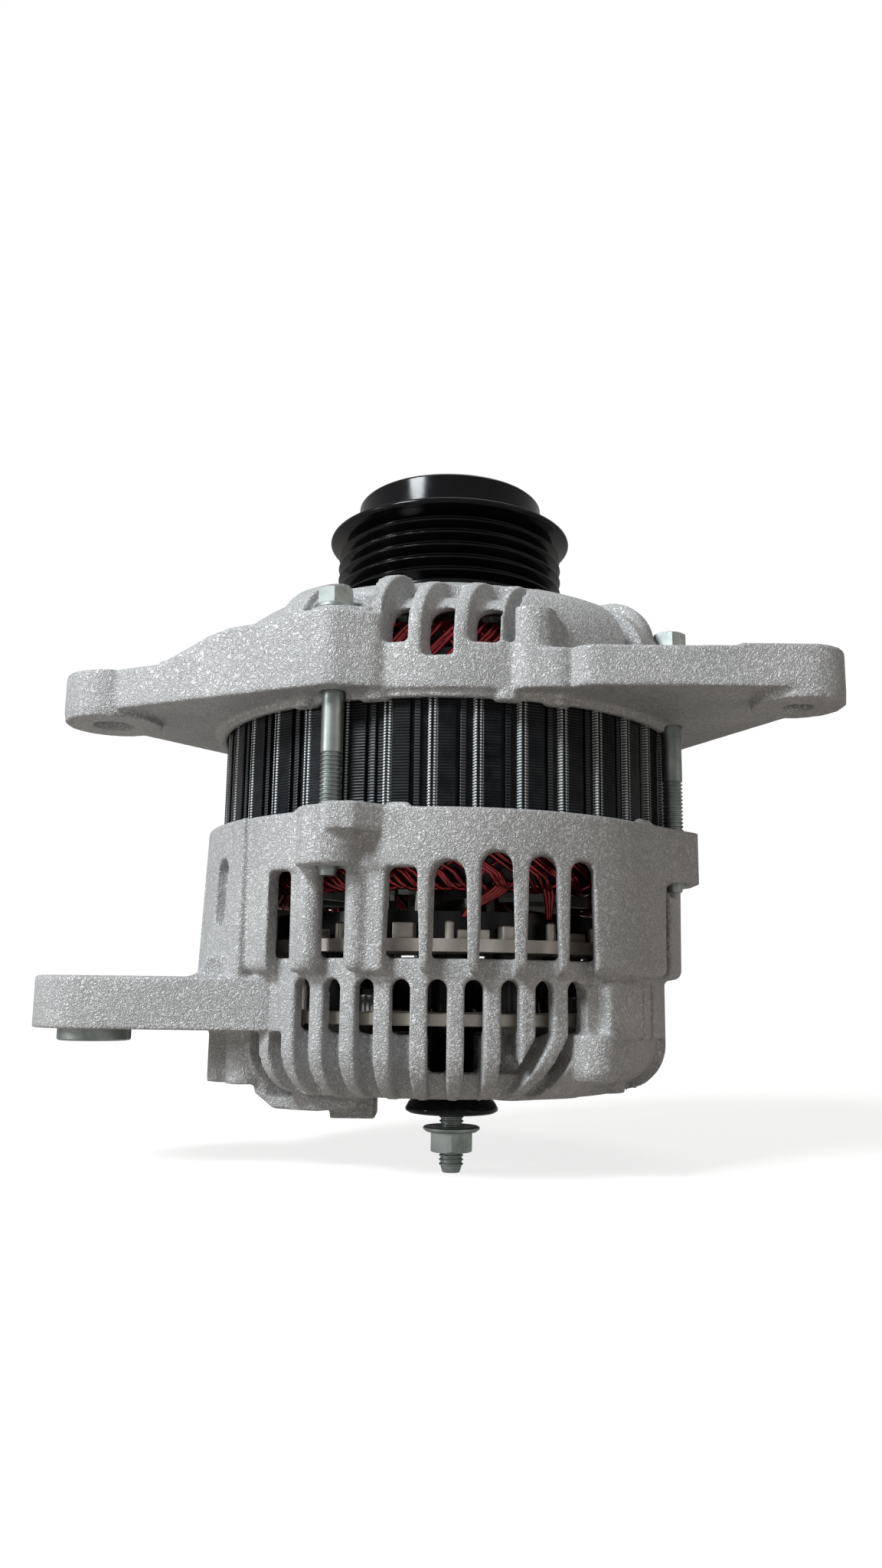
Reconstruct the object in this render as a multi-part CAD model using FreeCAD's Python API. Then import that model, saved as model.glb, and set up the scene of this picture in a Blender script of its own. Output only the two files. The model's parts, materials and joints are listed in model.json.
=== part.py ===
# An alternator: a claw-pole rotor that turns inside a wound stator, between two cast
# brackets. Lengths are millimetres and angles are degrees. The rotor's axis is Z, with
# the pulley at the top, and height zero is the centre plane of the belt. An azimuth is
# measured from the near side, -Y, towards +X.
import FreeCAD, Part
import math
import os

Vector = FreeCAD.Vector

# Fits and gaps
SEAT_FIT = 0.05
HAND_GAP = 0.15
TURNING_GAP = 0.3
AIR_GAP = 0.35

# Belt pulley
GROOVE_COUNT = 6
GROOVE_PITCH = 3.56
GROOVE_DEPTH = 2.8
CREST_RADIUS = 32.65
FLANGE_RADIUS = 35.25
FLANGE_WIDTH = 1.8
FLANGE_ROUND = 0.9
COLLAR_RADIUS = 26.85
COLLAR_BASE = 14.0
COLLAR_TOP = 23.2
COLLAR_CHAMFER = 0.8
PULLEY_BORE = 18.0
CAP_RADIUS = 24.0
CAP_THICKNESS = 2.0
CAP_RIDGE_RADIUS = 16.0
CAP_RIDGE_WIDTH = 2.0
CAP_RIDGE_HEIGHT = 0.8

# One-way clutch inside the pulley
HUB_RADIUS = 12.4
HUB_FRONT = 15.0
ROLLER_COUNT = 12
ROLLER_RADIUS = 1.7
ROLLER_LENGTH = 10.0
ROLLER_GAP = 0.1
CAGE_WALL = 1.3
SUPPORT_BEARING_WIDTH = 5.0
SUPPORT_BEARING_INSET = 1.2

# Rotor shaft
THREAD_RADIUS = 8.0
THREAD_TOP = 12.0
JOURNAL_RADIUS = 8.5
ROTOR_SEAT_RADIUS = 9.0
RING_SEAT_RADIUS = 6.4
REAR_JOURNAL_RADIUS = 6.0

# Stator core
CORE_RADIUS = 62.0
CORE_BORE = 45.4
CORE_FRONT = -48.0
CORE_REAR = -79.0
SLOT_COUNT = 36
SLOT_WIDTH = 4.2
SLOT_OUTER_RADIUS = 56.5
TOOTH_TIP = 1.2
SLOT_MOUTH = 2.4
NOTCH_WIDTH = 4.4
NOTCH_DEPTH = 1.3

# Stator winding and slot liners
LINER_THICKNESS = 0.3
LINER_GAP = 0.1
LINER_OVERHANG = 1.2
CROWN_INNER_RADIUS = 47.6
CROWN_OUTER_RADIUS = 57.4
CROWN_ROUND = 3.6
FRONT_CROWN_TOP = -31.6
REAR_CROWN_END = -95.2
LEAD_RADIUS = 0.9
LEAD_AZIMUTHS = (-28.0, 8.0, 42.0)
LEAD_CIRCLE = 50.5

# Rotor: two claw poles on a field coil
POLE_COUNT = 6
POLE_RADIUS = CORE_BORE - AIR_GAP
POLE_FRONT = -40.0
POLE_REAR = -87.0
POLE_DISC = 11.0
POLE_DISC_RADIUS = 36.0
CLAW_ROOT_WIDTH = 21.5
CLAW_TIP_WIDTH = 9.0
CLAW_ROOT_DEPTH = 9.2
CLAW_TIP_DEPTH = 4.2
CLAW_TIP_SETBACK = 2.6
CLAW_CHAMFER = 2.2
POLE_CORE_RADIUS = 15.0
COIL_RADIUS = 32.0
BOBBIN_WALL = 1.2
BOBBIN_FLANGE_RADIUS = 33.6

# Fans
FAN_DISC = 1.2
FRONT_BLADE_COUNT = 11
REAR_BLADE_COUNT = 10
BLADE_THICKNESS = 1.2
BLADE_LEAN = 38.0
FRONT_BLADE_HEIGHT = 4.6
REAR_BLADE_HEIGHT = 6.4
BLADE_INNER_RADIUS = 24.0
BLADE_OUTER_RADIUS = 42.0
FAN_DISC_RADIUS = 38.0

# Slip rings
RING_RADIUS = 8.6
RING_WALL = 1.2
RING_WIDTH = 4.6
UPPER_RING_CENTRE = -116.3
LOWER_RING_CENTRE = -123.3
SLEEVE_MARGIN = 2.0

# Bearings
BEARING_RADIUS = 23.5
BEARING_FRONT = -17.0
BEARING_WIDTH = 14.0
RACE_WALL = 3.4
BALL_RADIUS = 4.9
BALL_COUNT = 7
BALL_GAP = 0.05
SHIELD_THICKNESS = 1.0
SHIELD_INSET = 0.5
REAR_BEARING_RADIUS = 16.0
REAR_BEARING_WIDTH = 10.0
REAR_BEARING_REAR = -140.0
REAR_RACE_WALL = 2.4
REAR_BALL_RADIUS = 3.1
REAR_BALL_COUNT = 8
RETAINER_THICKNESS = 2.2
RETAINER_RADIUS = 33.0
RETAINER_HOLE = 20.0
RETAINER_SCREW_CIRCLE = 28.6
RETAINER_SCREW_COUNT = 4
RETAINER_SCREW_RADIUS = 2.0
RETAINER_SCREW_LENGTH = 9.0
RETAINER_HEAD_RADIUS = 3.8

# Through bolts
BOLT_COUNT = 4
BOLT_CIRCLE = 65.0
FIRST_BOLT_AZIMUTH = -25.0
BOLT_RADIUS = 2.65
BOLT_HOLE_RADIUS = 2.85
BOLT_HEAD_ACROSS_FLATS = 8.0
BOLT_HEAD_HEIGHT = 4.2
BOLT_WASHER_RADIUS = 5.2
BOLT_WASHER_THICKNESS = 1.1
BOLT_END = -92.3

# Front bracket
BAND_RADIUS = 65.5
BAND_BOTTOM = -48.7
SEAT_RIM_RADIUS = 64.3
SEAT_RIM_BOTTOM = -50.5
CAVITY_RADIUS = 59.0
DOME_CENTRE_RADIUS = 47.5
DOME_CENTRE_HEIGHT = -35.5
DOME_WALL = 2.5
PLATE_RADIUS = 40.0
PLATE_TOP = -13.6
HUB_HOLE_RADIUS = 14.0
HUB_BOSS_RADIUS = 34.0
BOLT_BOSS_RADIUS = 7.6
BOLT_BOSS_CHAMFER = 2.0
BOLT_SEAT = -28.6
SPOT_FACE_RADIUS = 5.7
SHELF_END = (-20.5, -60.6, 3.4)
SHELF_FOOT = (-19.5, -60.0, 5.2)
VENT_PULL = -22.0
VENT_REACH = 17.0
VENTS = ((-14.1, -9.0, -37.3), (-6.0, 0.5, -40.8), (3.5, 10.2, -37.3))
GROOVE_VENT = (11.1, 13.6, -37.1)
VENT_PITCH = 9.6
VENT_GROUPS = ((46.0, 1), (81.2, 7), (171.2, 7))
VENT_WIDTH = 6.8
VENT_FLOOR = -37.6
VENT_WINDOW_TOP = -27.0
PILLAR = (19.6, -60.2, 6.0)
PILLAR_TOP = -28.5
PILLAR_FOOT = (25.2, -61.4, 5.6)
ARCHES = ((-15.9, 4.0, 2.0, -22.0), (-36.5, 8.0, 2.2, -36.5))
HANDLE_AZIMUTH = 57.0
HANDLE_WIDTH = 6.4
HANDLE_CENTRE = (51.0, -27.5)
HANDLE_RADIUS = 12.3
HANDLE_FOOT = -40.0
INTAKE_COUNT = 12
INTAKE_WIDTH = 5.0
INTAKE_INNER_RADIUS = 37.5
INTAKE_OUTER_RADIUS = 44.5
RIM_TAB_AZIMUTHS = (-32.8, -16.0, 12.6, 24.0)
RIM_TAB_CIRCLE = 62.8
RIM_TAB_RADIUS = 3.2
RIM_TAB_DROP = 0.8

# Front pivot ear, on the left
PIVOT_X = -87.8
PIVOT_Y = -28.3
PIVOT_EAR_RADIUS = 12.7
PIVOT_BOSS_RADIUS = 12.4
PIVOT_HOLE_RADIUS = 5.25
PIVOT_BOSS_FACE = -50.5
PIVOT_WEB_RADIUS = 9.6
PIVOT_EAR_TOP = -38.4
PIVOT_EAR_ROOT = (-45.0, 10.0, 19.5)
PIVOT_EAR_SLOPE = ((-72.5, -38.4), (-59.4, -32.9), (-53.5, -31.4), (-44.5, -31.2), (-38.5, -30.0))
EAR_BUMP = (-74.7, -28.3, 2.2, -32.8)

# Adjuster ear, on the right
ADJUSTER_X = 82.7
ADJUSTER_Y = -59.0
ADJUSTER_EAR_RADIUS = 11.0
ADJUSTER_BOSS_RADIUS = 10.9
ADJUSTER_HOLE_RADIUS = 3.4
ADJUSTER_BOSS_FACE = -51.0
ADJUSTER_EAR_TOP = -38.9
ADJUSTER_PAD_TOP = -38.3
ADJUSTER_PAD_X = 66.8
ADJUSTER_NEAR_ROOT = (33.5, -63.6, 5.6)
ADJUSTER_FAR_ROOT = (45.0, 0.0, 20.6)

# Rear bracket
REAR_RIM_TOP = -76.5
REAR_BARREL_TOP_RADIUS = 65.0
REAR_BARREL_RADIUS = 64.5
REAR_BARREL_BOTTOM = -114.2
REAR_BARREL_ROUND = 2.2
REAR_BARREL_WALL = 4.0
REAR_LOWER_RADIUS = 60.0
REAR_LOWER_TOP = -114.6
REAR_LOWER_WALL = 3.5
REAR_CORNER = 12.0
REAR_FACE = -143.0
REAR_PLATE = 3.4
REAR_LEDGE_HEIGHT = -110.4
REAR_BOSS_RADIUS = 20.0
REAR_BOSS_TOP = -129.4
REAR_BOLT_BOSS_RADIUS = 7.6
REAR_BOLT_BOSS_BOTTOM = -90.3
COLUMN_AZIMUTHS = (-41.1, -6.5)
COLUMN_SETBACK = 1.1
RIGHT_BOSS = ((44.0, -47.7), (65.4, -27.0), (65.4, -17.0), (54.0, -14.0), (38.0, -42.0))
RIM_BUMP_AZIMUTHS = (-31.7, -10.3, 50.0)
RIM_BUMP_INSET = 0.6
RIM_BUMP_WIDTH = 5.0
RIM_BUMP_TOP = -75.3
WINDOW_PITCH = 9.3
WINDOW_BOTTOM = -110.4
WINDOW_SPREAD = 0.5
WINDOW_REACH = 12.0
SQUARE_OPENINGS = ((-41.1, -35.5, -32.0), (-28.0, -20.7, -22.0), (-12.8, -6.1, -21.0))
ARCHED_OPENINGS = (
    (-3.4, 3.7, -19.0, -88.7), (6.8, 13.4, -8.0, -86.4),
    (17.0, 23.2, 0.0, -87.0), (26.6, 32.2, 1.0, -87.7))
BACK_OPENINGS = ((79.0, 7), (168.0, 7))
BACK_OPENING_SPAN = 6.0
SLIT_OPENING = (59.9, 62.4, 61.0)
COLUMNS = ((-30.8, 62.4, 3.1), (-19.2, 62.8, 2.7))
GRILLE_PITCH = 8.13
GRILLE_FIRST = 6.3
GRILLE_GAP = 4.4
GRILLE_SLOTS = (-5, 3)
GRILLE_POCKETS = (-7, 1)
GRILLE_BACK = ((78.0, 9), (198.0, 5))
GRILLE_TOP = -115.4
GRILLE_BOTTOM = -128.0
GRILLE_POCKET_RADIUS = 54.5
OPEN_GRILLE = (-1, 1)
BENT_GRILLE = (2, 3)
BENT_SHIFT = 9.0
GRILLE_END_RADIUS = 46.0
GRILLE_LAP = 0.5
OPEN_GRILLE_BOTTOM = -136.5
LOWER_STEP = -127.0
LOWER_WALL_SLOPE = 1.5
SIDE_SLIT_AZIMUTHS = (54.5, 60.5)
SIDE_SLIT_WIDTH = 1.7
SIDE_SLIT_BOTTOM = -134.0
RIM_BLOCK = ((-31.0, -60.0), (-27.5, -67.6), (-21.3, -68.0), (-15.0, -63.5), (-20.0, -58.0))
RIM_BLOCK_TOP = -75.9
RIM_BLOCK_BOTTOM = -82.4
SIDE_PANEL_AZIMUTHS = (-128.0, -50.0)
SIDE_PANEL_PROUD = (0.7, 2.1)
BEAD_AZIMUTHS = (-50.2, -48.8)
BEAD_PROUD = 0.6
OVAL_AZIMUTH = -58.5
OVAL_WIDTH = 7.0
OVAL_TOP = -85.9
OVAL_BOTTOM = -102.8
OVAL_DEPTH = 1.8
THIN_OVAL_AZIMUTH = -75.0
THIN_OVAL_WIDTH = 3.4
THIN_OVAL_TOP = -86.6
THIN_OVAL_BOTTOM = -106.6
CORNER_BOSS = (32.9, -44.0, 6.6, -139.0)
CORNER_BLOCK_AZIMUTHS = (32.6, 52.0)
CORNER_BLOCK_PROUD = 0.9
CORNER_BLOCK_BOTTOM = -129.3
CORNER_RECESS_AZIMUTHS = (40.0, 75.0)
CORNER_RECESS_DEPTH = 2.4
SIDE_BOSSES = ((-55.2, -24.0, 4.6), (-49.5, -30.5, 4.6))
REAR_PAD_BOTTOM = ((-46.5, 0.0), (-41.5, 3.8), (-31.0, 4.3), (-21.5, 3.4), (-19.0, 0.0))
REAR_PAD_DEPTH = (-33.0, -12.0)
REAR_POST = (-28.4, -17.0, -26.0, -14.0, -149.6)
REAR_INTAKE_AZIMUTHS = (-118.0, -96.0, -74.0, 40.0, 62.0, 84.0, 106.0, 128.0, -140.0)
REAR_INTAKE_WIDTH = 6.0
REAR_INTAKE_INNER = 25.0
REAR_INTAKE_OUTER = 41.0

# Rear lug and its bush
LUG_RADIUS = 15.0
LUG_TOP = -115.3
LUG_BOTTOM = -128.0
LUG_ROOT_X = -44.0
LUG_COVE = 5.0
BUSH_RADIUS = 9.0
BUSH_PROUD = 3.1
BUSH_SLIT = 1.2

# Rectifier
PLATE_INNER_RADIUS = 25.0
PLATE_OUTER_RADIUS = 55.0
PLATE_AZIMUTHS = (-68.0, 78.0)
NEGATIVE_PLATE_BOTTOM = -126.0
NEGATIVE_PLATE_TOP = -123.0
POSITIVE_PLATE_BOTTOM = -109.0
POSITIVE_PLATE_TOP = -106.0
POST_CIRCLE = 45.0
POST_AZIMUTHS = (-40.0, 20.0, 66.0)
POST_RADIUS = 5.6
SPACER_RADIUS = 4.2
SCREW_RADIUS = 2.0
SCREW_HOLE = 2.3
SCREW_HEAD_RADIUS = 4.0
SCREW_HEAD_HEIGHT = 2.8
BLOCK_INNER_RADIUS = 42.0
BLOCK_OUTER_RADIUS = 54.0
BLOCK_TOP = -99.0
DIODE_RADIUS = 5.2
DIODE_HEIGHT = 6.2
DIODE_CIRCLE = 38.0
DIODE_AZIMUTHS = (-52.0, -28.0, 29.0, 52.0)

# Output stud
STUD_X = 2.0
STUD_Y = -32.0
STUD_RADIUS = 3.0
STUD_ROOT_RADIUS = 2.5
STUD_TIP = -161.2
STUD_POINT = 1.6
STUD_HEAD_RADIUS = 6.0
STUD_HEAD_HEIGHT = 3.4
INSULATOR_RADIUS = 11.5
INSULATOR_BOTTOM = -147.2
INSULATOR_LIP = 0.8
INSULATOR_DISH = 4.0
INSULATOR_NECK = 9.0
INSULATOR_SLEEVE = 5.5
NUT_FLANGE_RADIUS = 7.0
NUT_FLANGE_TOP = -150.3
NUT_FLANGE_THICKNESS = 1.2
NUT_ACROSS_FLATS = 10.0
NUT_BOTTOM = -156.4

# Brushes and regulator
BRUSH_WIDTH = 4.0
BRUSH_GAP = 0.35
BRUSH_HEIGHT = 4.0
BRUSH_LENGTH = 15.0
HOLDER_HALF_WIDTH = 8.0
HOLDER_FRONT = 11.2
HOLDER_BACK = 37.0
HOLDER_TOP = -111.8
HOLDER_BOTTOM = -127.6
SPRING_LENGTH = 9.0
SPRING_RADIUS = 1.5
SPRING_WIRE = 0.35
SPRING_TURNS = 5
REGULATOR_HALF_WIDTH = 16.0
REGULATOR_NEAR = 24.0
REGULATOR_FAR = 46.0
REGULATOR_SEAT = -128.0
HEAT_SINK_NEAR = 38.0
HEAT_SINK_TOP = -112.0
HEAT_SINK_BASE = 3.0
FIN_COUNT = 6
FIN_THICKNESS = 1.6
REGULATOR_SCREW_X = 12.5
REGULATOR_SCREW_Y = 31.0

# Plug connector
SOCKET_HALF_WIDTH = 13.0
SOCKET_BOTTOM = -135.0
SOCKET_TOP = -120.0
SOCKET_END = 72.0
SOCKET_WALL = 1.8
SOCKET_FLOOR = 4.0
SOCKET_CORNER = 4.0
PIN_PITCH = 5.4
PIN_WIDTH = 2.4
PIN_THICKNESS = 0.8
PIN_INSET = 4.0

# How far a cutting shape runs past the face that it cuts, and angles on a round edge.
OVERCUT = 6.0
MIDWAY = 45.0
BEND_MIDDLE = 35.0
BEND_END = 70.0


def polar(radius, azimuth, height=0.0):
    """The point at a radius and azimuth about the rotor's axis."""
    turn = math.radians(azimuth)
    return Vector(radius * math.sin(turn), -radius * math.cos(turn), height)


def turned(shape, azimuth):
    """A copy of a shape made at azimuth zero, turned to another azimuth."""
    copy = shape.copy()
    copy.rotate(Vector(0, 0, 0), Vector(0, 0, 1), azimuth)
    return copy


def rod(radius, low, high, x=0.0, y=0.0):
    """An upright cylinder between two heights."""
    return Part.makeCylinder(radius, high - low, Vector(x, y, low))


def tube(outer, inner, low, high, x=0.0, y=0.0):
    """An upright tube between two heights."""
    return rod(outer, low, high, x, y).cut(rod(inner, low, high, x, y))


def block(x0, x1, y0, y1, low, high):
    """A square-cornered block between its limits."""
    return Part.makeBox(x1 - x0, y1 - y0, high - low, Vector(x0, y0, low))


def outline(points, place):
    """A closed face. A point is (a, b), or (mid a, mid b, a, b) for an arc to it."""
    edges = []
    last = place(*points[-1][-2:])
    for point in points:
        end = place(*point[-2:])
        if len(point) > 2:
            edges.append(Part.Arc(last, place(*point[:2]), end).toShape())
        else:
            edges.append(Part.LineSegment(last, end).toShape())
        last = end
    return Part.Face(Part.Wire(edges))


def revolved(points):
    """A solid of revolution about the rotor's axis, from (radius, height) points."""
    face = outline(points, lambda radius, height: Vector(radius, 0, height))
    return face.revolve(Vector(0, 0, 0), Vector(0, 0, 1), 360)


def prism(points, low, high):
    """An upright prism on a plan of (x, y) points."""
    face = outline(points, lambda x, y: Vector(x, y, low))
    return face.extrude(Vector(0, 0, high - low))


def hull_of_circles(circles, low, high):
    """A prism on the taut outline round circles (x, y, radius), named anticlockwise."""
    count = len(circles)
    normals = []
    for i in range(count):
        x0, y0, r0 = circles[i]
        x1, y1, r1 = circles[(i + 1) % count]
        run = math.atan2(y1 - y0, x1 - x0)
        tilt = math.asin((r0 - r1) / math.hypot(x1 - x0, y1 - y0))
        normals.append(run - math.pi / 2 + tilt)
    points = []
    for i in range(count):
        x, y, radius = circles[i]
        start = normals[i - 1]
        sweep = (normals[i] - start) % (2 * math.pi)
        middle = start + sweep / 2
        points.append((x + radius * math.cos(start), y + radius * math.sin(start)))
        arc_middle = (x + radius * math.cos(middle), y + radius * math.sin(middle))
        arc_end = (x + radius * math.cos(normals[i]), y + radius * math.sin(normals[i]))
        points.append(arc_middle + arc_end)
    return prism(points, low, high)


def radial_slot(width, low, high, near, far, azimuth, round_top=True, round_bottom=False):
    """A cutter that runs outwards, with its ends rounded where a core would be."""
    half = width / 2
    top = high - half if round_top else high
    bottom = low + half if round_bottom else low
    points = [(half, bottom), (half, top)]
    points.append((0, high, -half, top) if round_top else (-half, top))
    points.append((-half, bottom))
    if round_bottom:
        points[0] = (0, low, half, bottom)
    face = outline(points, lambda x, height: Vector(x, -near, height))
    return turned(face.extrude(Vector(0, near - far, 0)), azimuth)


def upright_slot(width, inner, outer, low, high, azimuth):
    """An upright cutter with round ends, that runs from one radius to another."""
    half = width / 2
    points = [(half, -outer + half), (half, -inner - half)]
    points.append((0, -inner, -half, -inner - half))
    points.append((-half, -outer + half))
    points[0] = (0, -outer, half, -outer + half)
    return turned(prism(points, low, high), azimuth)


def sector(inner, outer, low, high, first, last):
    """Part of an upright ring, between two azimuths."""
    middle = (first + last) / 2
    a, b, c, d = polar(inner, first), polar(inner, middle), polar(inner, last), polar(outer, last)
    e, f = polar(outer, middle), polar(outer, first)
    points = [(f.x, f.y), (a.x, a.y), (b.x, b.y, c.x, c.y), (d.x, d.y), (e.x, e.y, f.x, f.y)]
    return prism(points[1:], low, high)


def across(radius, azimuth, pull):
    """How far a point at an azimuth lies to the side of a line at the pull's azimuth."""
    return radius * math.sin(math.radians(azimuth - pull))


def ball_ended_post(radius, low, high, x, y):
    """An upright cylinder that ends in half a ball below."""
    end = Part.makeSphere(radius, Vector(x, y, low + radius))
    return rod(radius, low + radius, high, x, y).fuse(end)


def hexagon(across_flats, low, high, x=0.0, y=0.0):
    """An upright hexagonal prism."""
    corner = across_flats / math.sqrt(3)
    turns = [math.radians(60 * i) for i in range(6)]
    points = [(x + corner * math.cos(t), y + corner * math.sin(t)) for t in turns]
    return prism(points, low, high)


def bolt_azimuths():
    """The azimuths of the through bolts."""
    return [FIRST_BOLT_AZIMUTH + i * 360 / BOLT_COUNT for i in range(BOLT_COUNT)]


def pattern(groups, pitch):
    """Azimuths in groups, each given as its first azimuth and its count."""
    return [first + i * pitch for first, count in groups for i in range(count)]


def joined(shapes):
    """One solid from several that meet."""
    return shapes[0].multiFuse(shapes[1:]).removeSplitter()


def pulley_ring():
    """The outer ring, with grooves for a ribbed belt, two flanges and a collar."""
    half = GROOVE_COUNT * GROOVE_PITCH / 2
    rear = -half - FLANGE_WIDTH
    points = [(PULLEY_BORE, rear), (FLANGE_RADIUS - FLANGE_ROUND, rear)]
    points.append((FLANGE_RADIUS - FLANGE_ROUND, -half))
    for i in range(GROOVE_COUNT):
        centre = -half + (i + 0.5) * GROOVE_PITCH
        points.append((CREST_RADIUS - GROOVE_DEPTH, centre))
        points.append((CREST_RADIUS, centre + GROOVE_PITCH / 2))
    lip = half + FLANGE_WIDTH / 2
    points[-1] = (FLANGE_RADIUS - FLANGE_ROUND, half)
    points.append((FLANGE_RADIUS, lip, FLANGE_RADIUS - FLANGE_ROUND, half + FLANGE_WIDTH))
    points.append((COLLAR_RADIUS, COLLAR_BASE))
    points.append((COLLAR_RADIUS, COLLAR_TOP - COLLAR_CHAMFER))
    points.append((COLLAR_RADIUS - COLLAR_CHAMFER, COLLAR_TOP))
    points.append((CAP_RADIUS + SEAT_FIT, COLLAR_TOP))
    points.append((CAP_RADIUS + SEAT_FIT, COLLAR_TOP - CAP_THICKNESS))
    points.append((PULLEY_BORE, COLLAR_TOP - CAP_THICKNESS))
    return revolved(points)


def pulley_rear():
    """The height of the pulley's rear face."""
    return -GROOVE_COUNT * GROOVE_PITCH / 2 - FLANGE_WIDTH


def pulley_cap():
    """The plastic cap that closes the pulley's front, with a raised ring."""
    ridge_inner = CAP_RIDGE_RADIUS - CAP_RIDGE_WIDTH
    top = COLLAR_TOP + CAP_RIDGE_HEIGHT
    return joined([
        rod(CAP_RADIUS, COLLAR_TOP - CAP_THICKNESS, COLLAR_TOP),
        tube(CAP_RIDGE_RADIUS, ridge_inner, COLLAR_TOP - CAP_THICKNESS / 2, top),
    ])


def support_bearings():
    """Two plain rings that carry the pulley on the clutch hub."""
    outer = PULLEY_BORE - SEAT_FIT
    inner = HUB_RADIUS + SEAT_FIT
    low = pulley_rear() + SUPPORT_BEARING_INSET
    high = HUB_FRONT - SUPPORT_BEARING_INSET - SUPPORT_BEARING_WIDTH
    rings = [tube(outer, inner, z, z + SUPPORT_BEARING_WIDTH) for z in (low, high)]
    return Part.makeCompound(rings)


def roller_circle():
    """The radius of the circle on which the clutch rollers lie."""
    return HUB_RADIUS + ROLLER_GAP + ROLLER_RADIUS


def roller_middle():
    """The middle height of the clutch, between its two bearings."""
    return (pulley_rear() + HUB_FRONT) / 2


def clutch_sleeve():
    """The hardened sleeve in the pulley, which the rollers wedge against."""
    inner = roller_circle() + ROLLER_RADIUS + ROLLER_GAP
    half = ROLLER_LENGTH / 2 + SUPPORT_BEARING_INSET
    return tube(PULLEY_BORE - SEAT_FIT, inner, roller_middle() - half, roller_middle() + half)


def clutch_rollers():
    """The rollers of the one-way clutch."""
    low = roller_middle() - ROLLER_LENGTH / 2
    rollers = []
    for i in range(ROLLER_COUNT):
        spot = polar(roller_circle(), i * 360 / ROLLER_COUNT)
        rollers.append(rod(ROLLER_RADIUS, low, low + ROLLER_LENGTH, spot.x, spot.y))
    return Part.makeCompound(rollers)


def clutch_cage():
    """The cage that spaces the rollers."""
    half = ROLLER_LENGTH / 2 + 1.0
    outer = roller_circle() + CAGE_WALL
    inner = HUB_RADIUS + TURNING_GAP
    low = roller_middle() - half
    ring = tube(outer, inner, low, low + 2 * half)
    pockets = []
    for i in range(ROLLER_COUNT):
        spot = polar(roller_circle(), i * 360 / ROLLER_COUNT)
        bottom = roller_middle() - ROLLER_LENGTH / 2 - ROLLER_GAP
        top = roller_middle() + ROLLER_LENGTH / 2 + ROLLER_GAP
        pockets.append(rod(ROLLER_RADIUS + ROLLER_GAP, bottom, top, spot.x, spot.y))
    return ring.cut(pockets)


def clutch_hub():
    """The hub that screws onto the shaft's thread."""
    return tube(HUB_RADIUS, THREAD_RADIUS + SEAT_FIT, pulley_rear(), HUB_FRONT)


def rotor_shaft():
    """The stepped shaft: thread, journal, pole seat, slip-ring seat, rear journal."""
    sleeve_top = UPPER_RING_CENTRE + RING_WIDTH / 2 + SLEEVE_MARGIN
    sleeve_bottom = LOWER_RING_CENTRE - RING_WIDTH / 2 - SLEEVE_MARGIN
    points = [
        (0, REAR_BEARING_REAR),
        (REAR_JOURNAL_RADIUS, REAR_BEARING_REAR),
        (REAR_JOURNAL_RADIUS, sleeve_bottom),
        (RING_SEAT_RADIUS, sleeve_bottom),
        (RING_SEAT_RADIUS, sleeve_top),
        (JOURNAL_RADIUS, sleeve_top),
        (JOURNAL_RADIUS, POLE_REAR - FAN_DISC),
        (ROTOR_SEAT_RADIUS, POLE_REAR - FAN_DISC),
        (ROTOR_SEAT_RADIUS, POLE_FRONT + FAN_DISC),
        (JOURNAL_RADIUS, POLE_FRONT + FAN_DISC),
        (JOURNAL_RADIUS, pulley_rear()),
        (THREAD_RADIUS, pulley_rear()),
        (THREAD_RADIUS, THREAD_TOP),
        (0, THREAD_TOP),
    ]
    return revolved(points)


def race(outer, inner, low, high, circle, ball):
    """A bearing race, with the groove in which its balls run."""
    middle = Vector(0, 0, (low + high) / 2)
    return tube(outer, inner, low, high).cut(Part.makeTorus(circle, ball + BALL_GAP, middle))


def balls(circle, radius, count, height):
    """The balls of a bearing, evenly spaced."""
    spots = [polar(circle, i * 360 / count, height) for i in range(count)]
    return Part.makeCompound([Part.makeSphere(radius, spot) for spot in spots])


def shields(outer, inner, low, high):
    """The two shields that close a bearing, fixed in its outer race."""
    heights = (low + SHIELD_INSET, high - SHIELD_INSET - SHIELD_THICKNESS)
    return Part.makeCompound([
        tube(outer - SEAT_FIT, inner + TURNING_GAP, z, z + SHIELD_THICKNESS) for z in heights])


def bearing_rear():
    """The height of the front bearing's rear face."""
    return BEARING_FRONT - BEARING_WIDTH


def front_bearing():
    """The front bearing's races, ball circle and heights."""
    outer = BEARING_RADIUS - RACE_WALL
    inner = JOURNAL_RADIUS + SEAT_FIT + RACE_WALL
    return outer, inner, (outer + inner) / 2, bearing_rear(), BEARING_FRONT


def front_bearing_outer():
    """The outer race of the sealed front bearing."""
    outer, inner, circle, low, high = front_bearing()
    return race(BEARING_RADIUS, outer, low, high, circle, BALL_RADIUS)


def front_bearing_inner():
    """The inner race, on the shaft's journal."""
    outer, inner, circle, low, high = front_bearing()
    return race(inner, inner - RACE_WALL, low, high, circle, BALL_RADIUS)


def front_bearing_balls():
    """The front bearing's balls."""
    outer, inner, circle, low, high = front_bearing()
    return balls(circle, BALL_RADIUS, BALL_COUNT, (low + high) / 2)


def front_bearing_shields():
    """The front bearing's shields."""
    outer, inner, circle, low, high = front_bearing()
    return shields(outer, inner, low, high)


def rear_bearing():
    """The rear bearing's races, ball circle and heights."""
    outer = REAR_BEARING_RADIUS - REAR_RACE_WALL
    inner = REAR_JOURNAL_RADIUS + SEAT_FIT + REAR_RACE_WALL
    high = REAR_BEARING_REAR + REAR_BEARING_WIDTH
    return outer, inner, (outer + inner) / 2, REAR_BEARING_REAR, high


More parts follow.
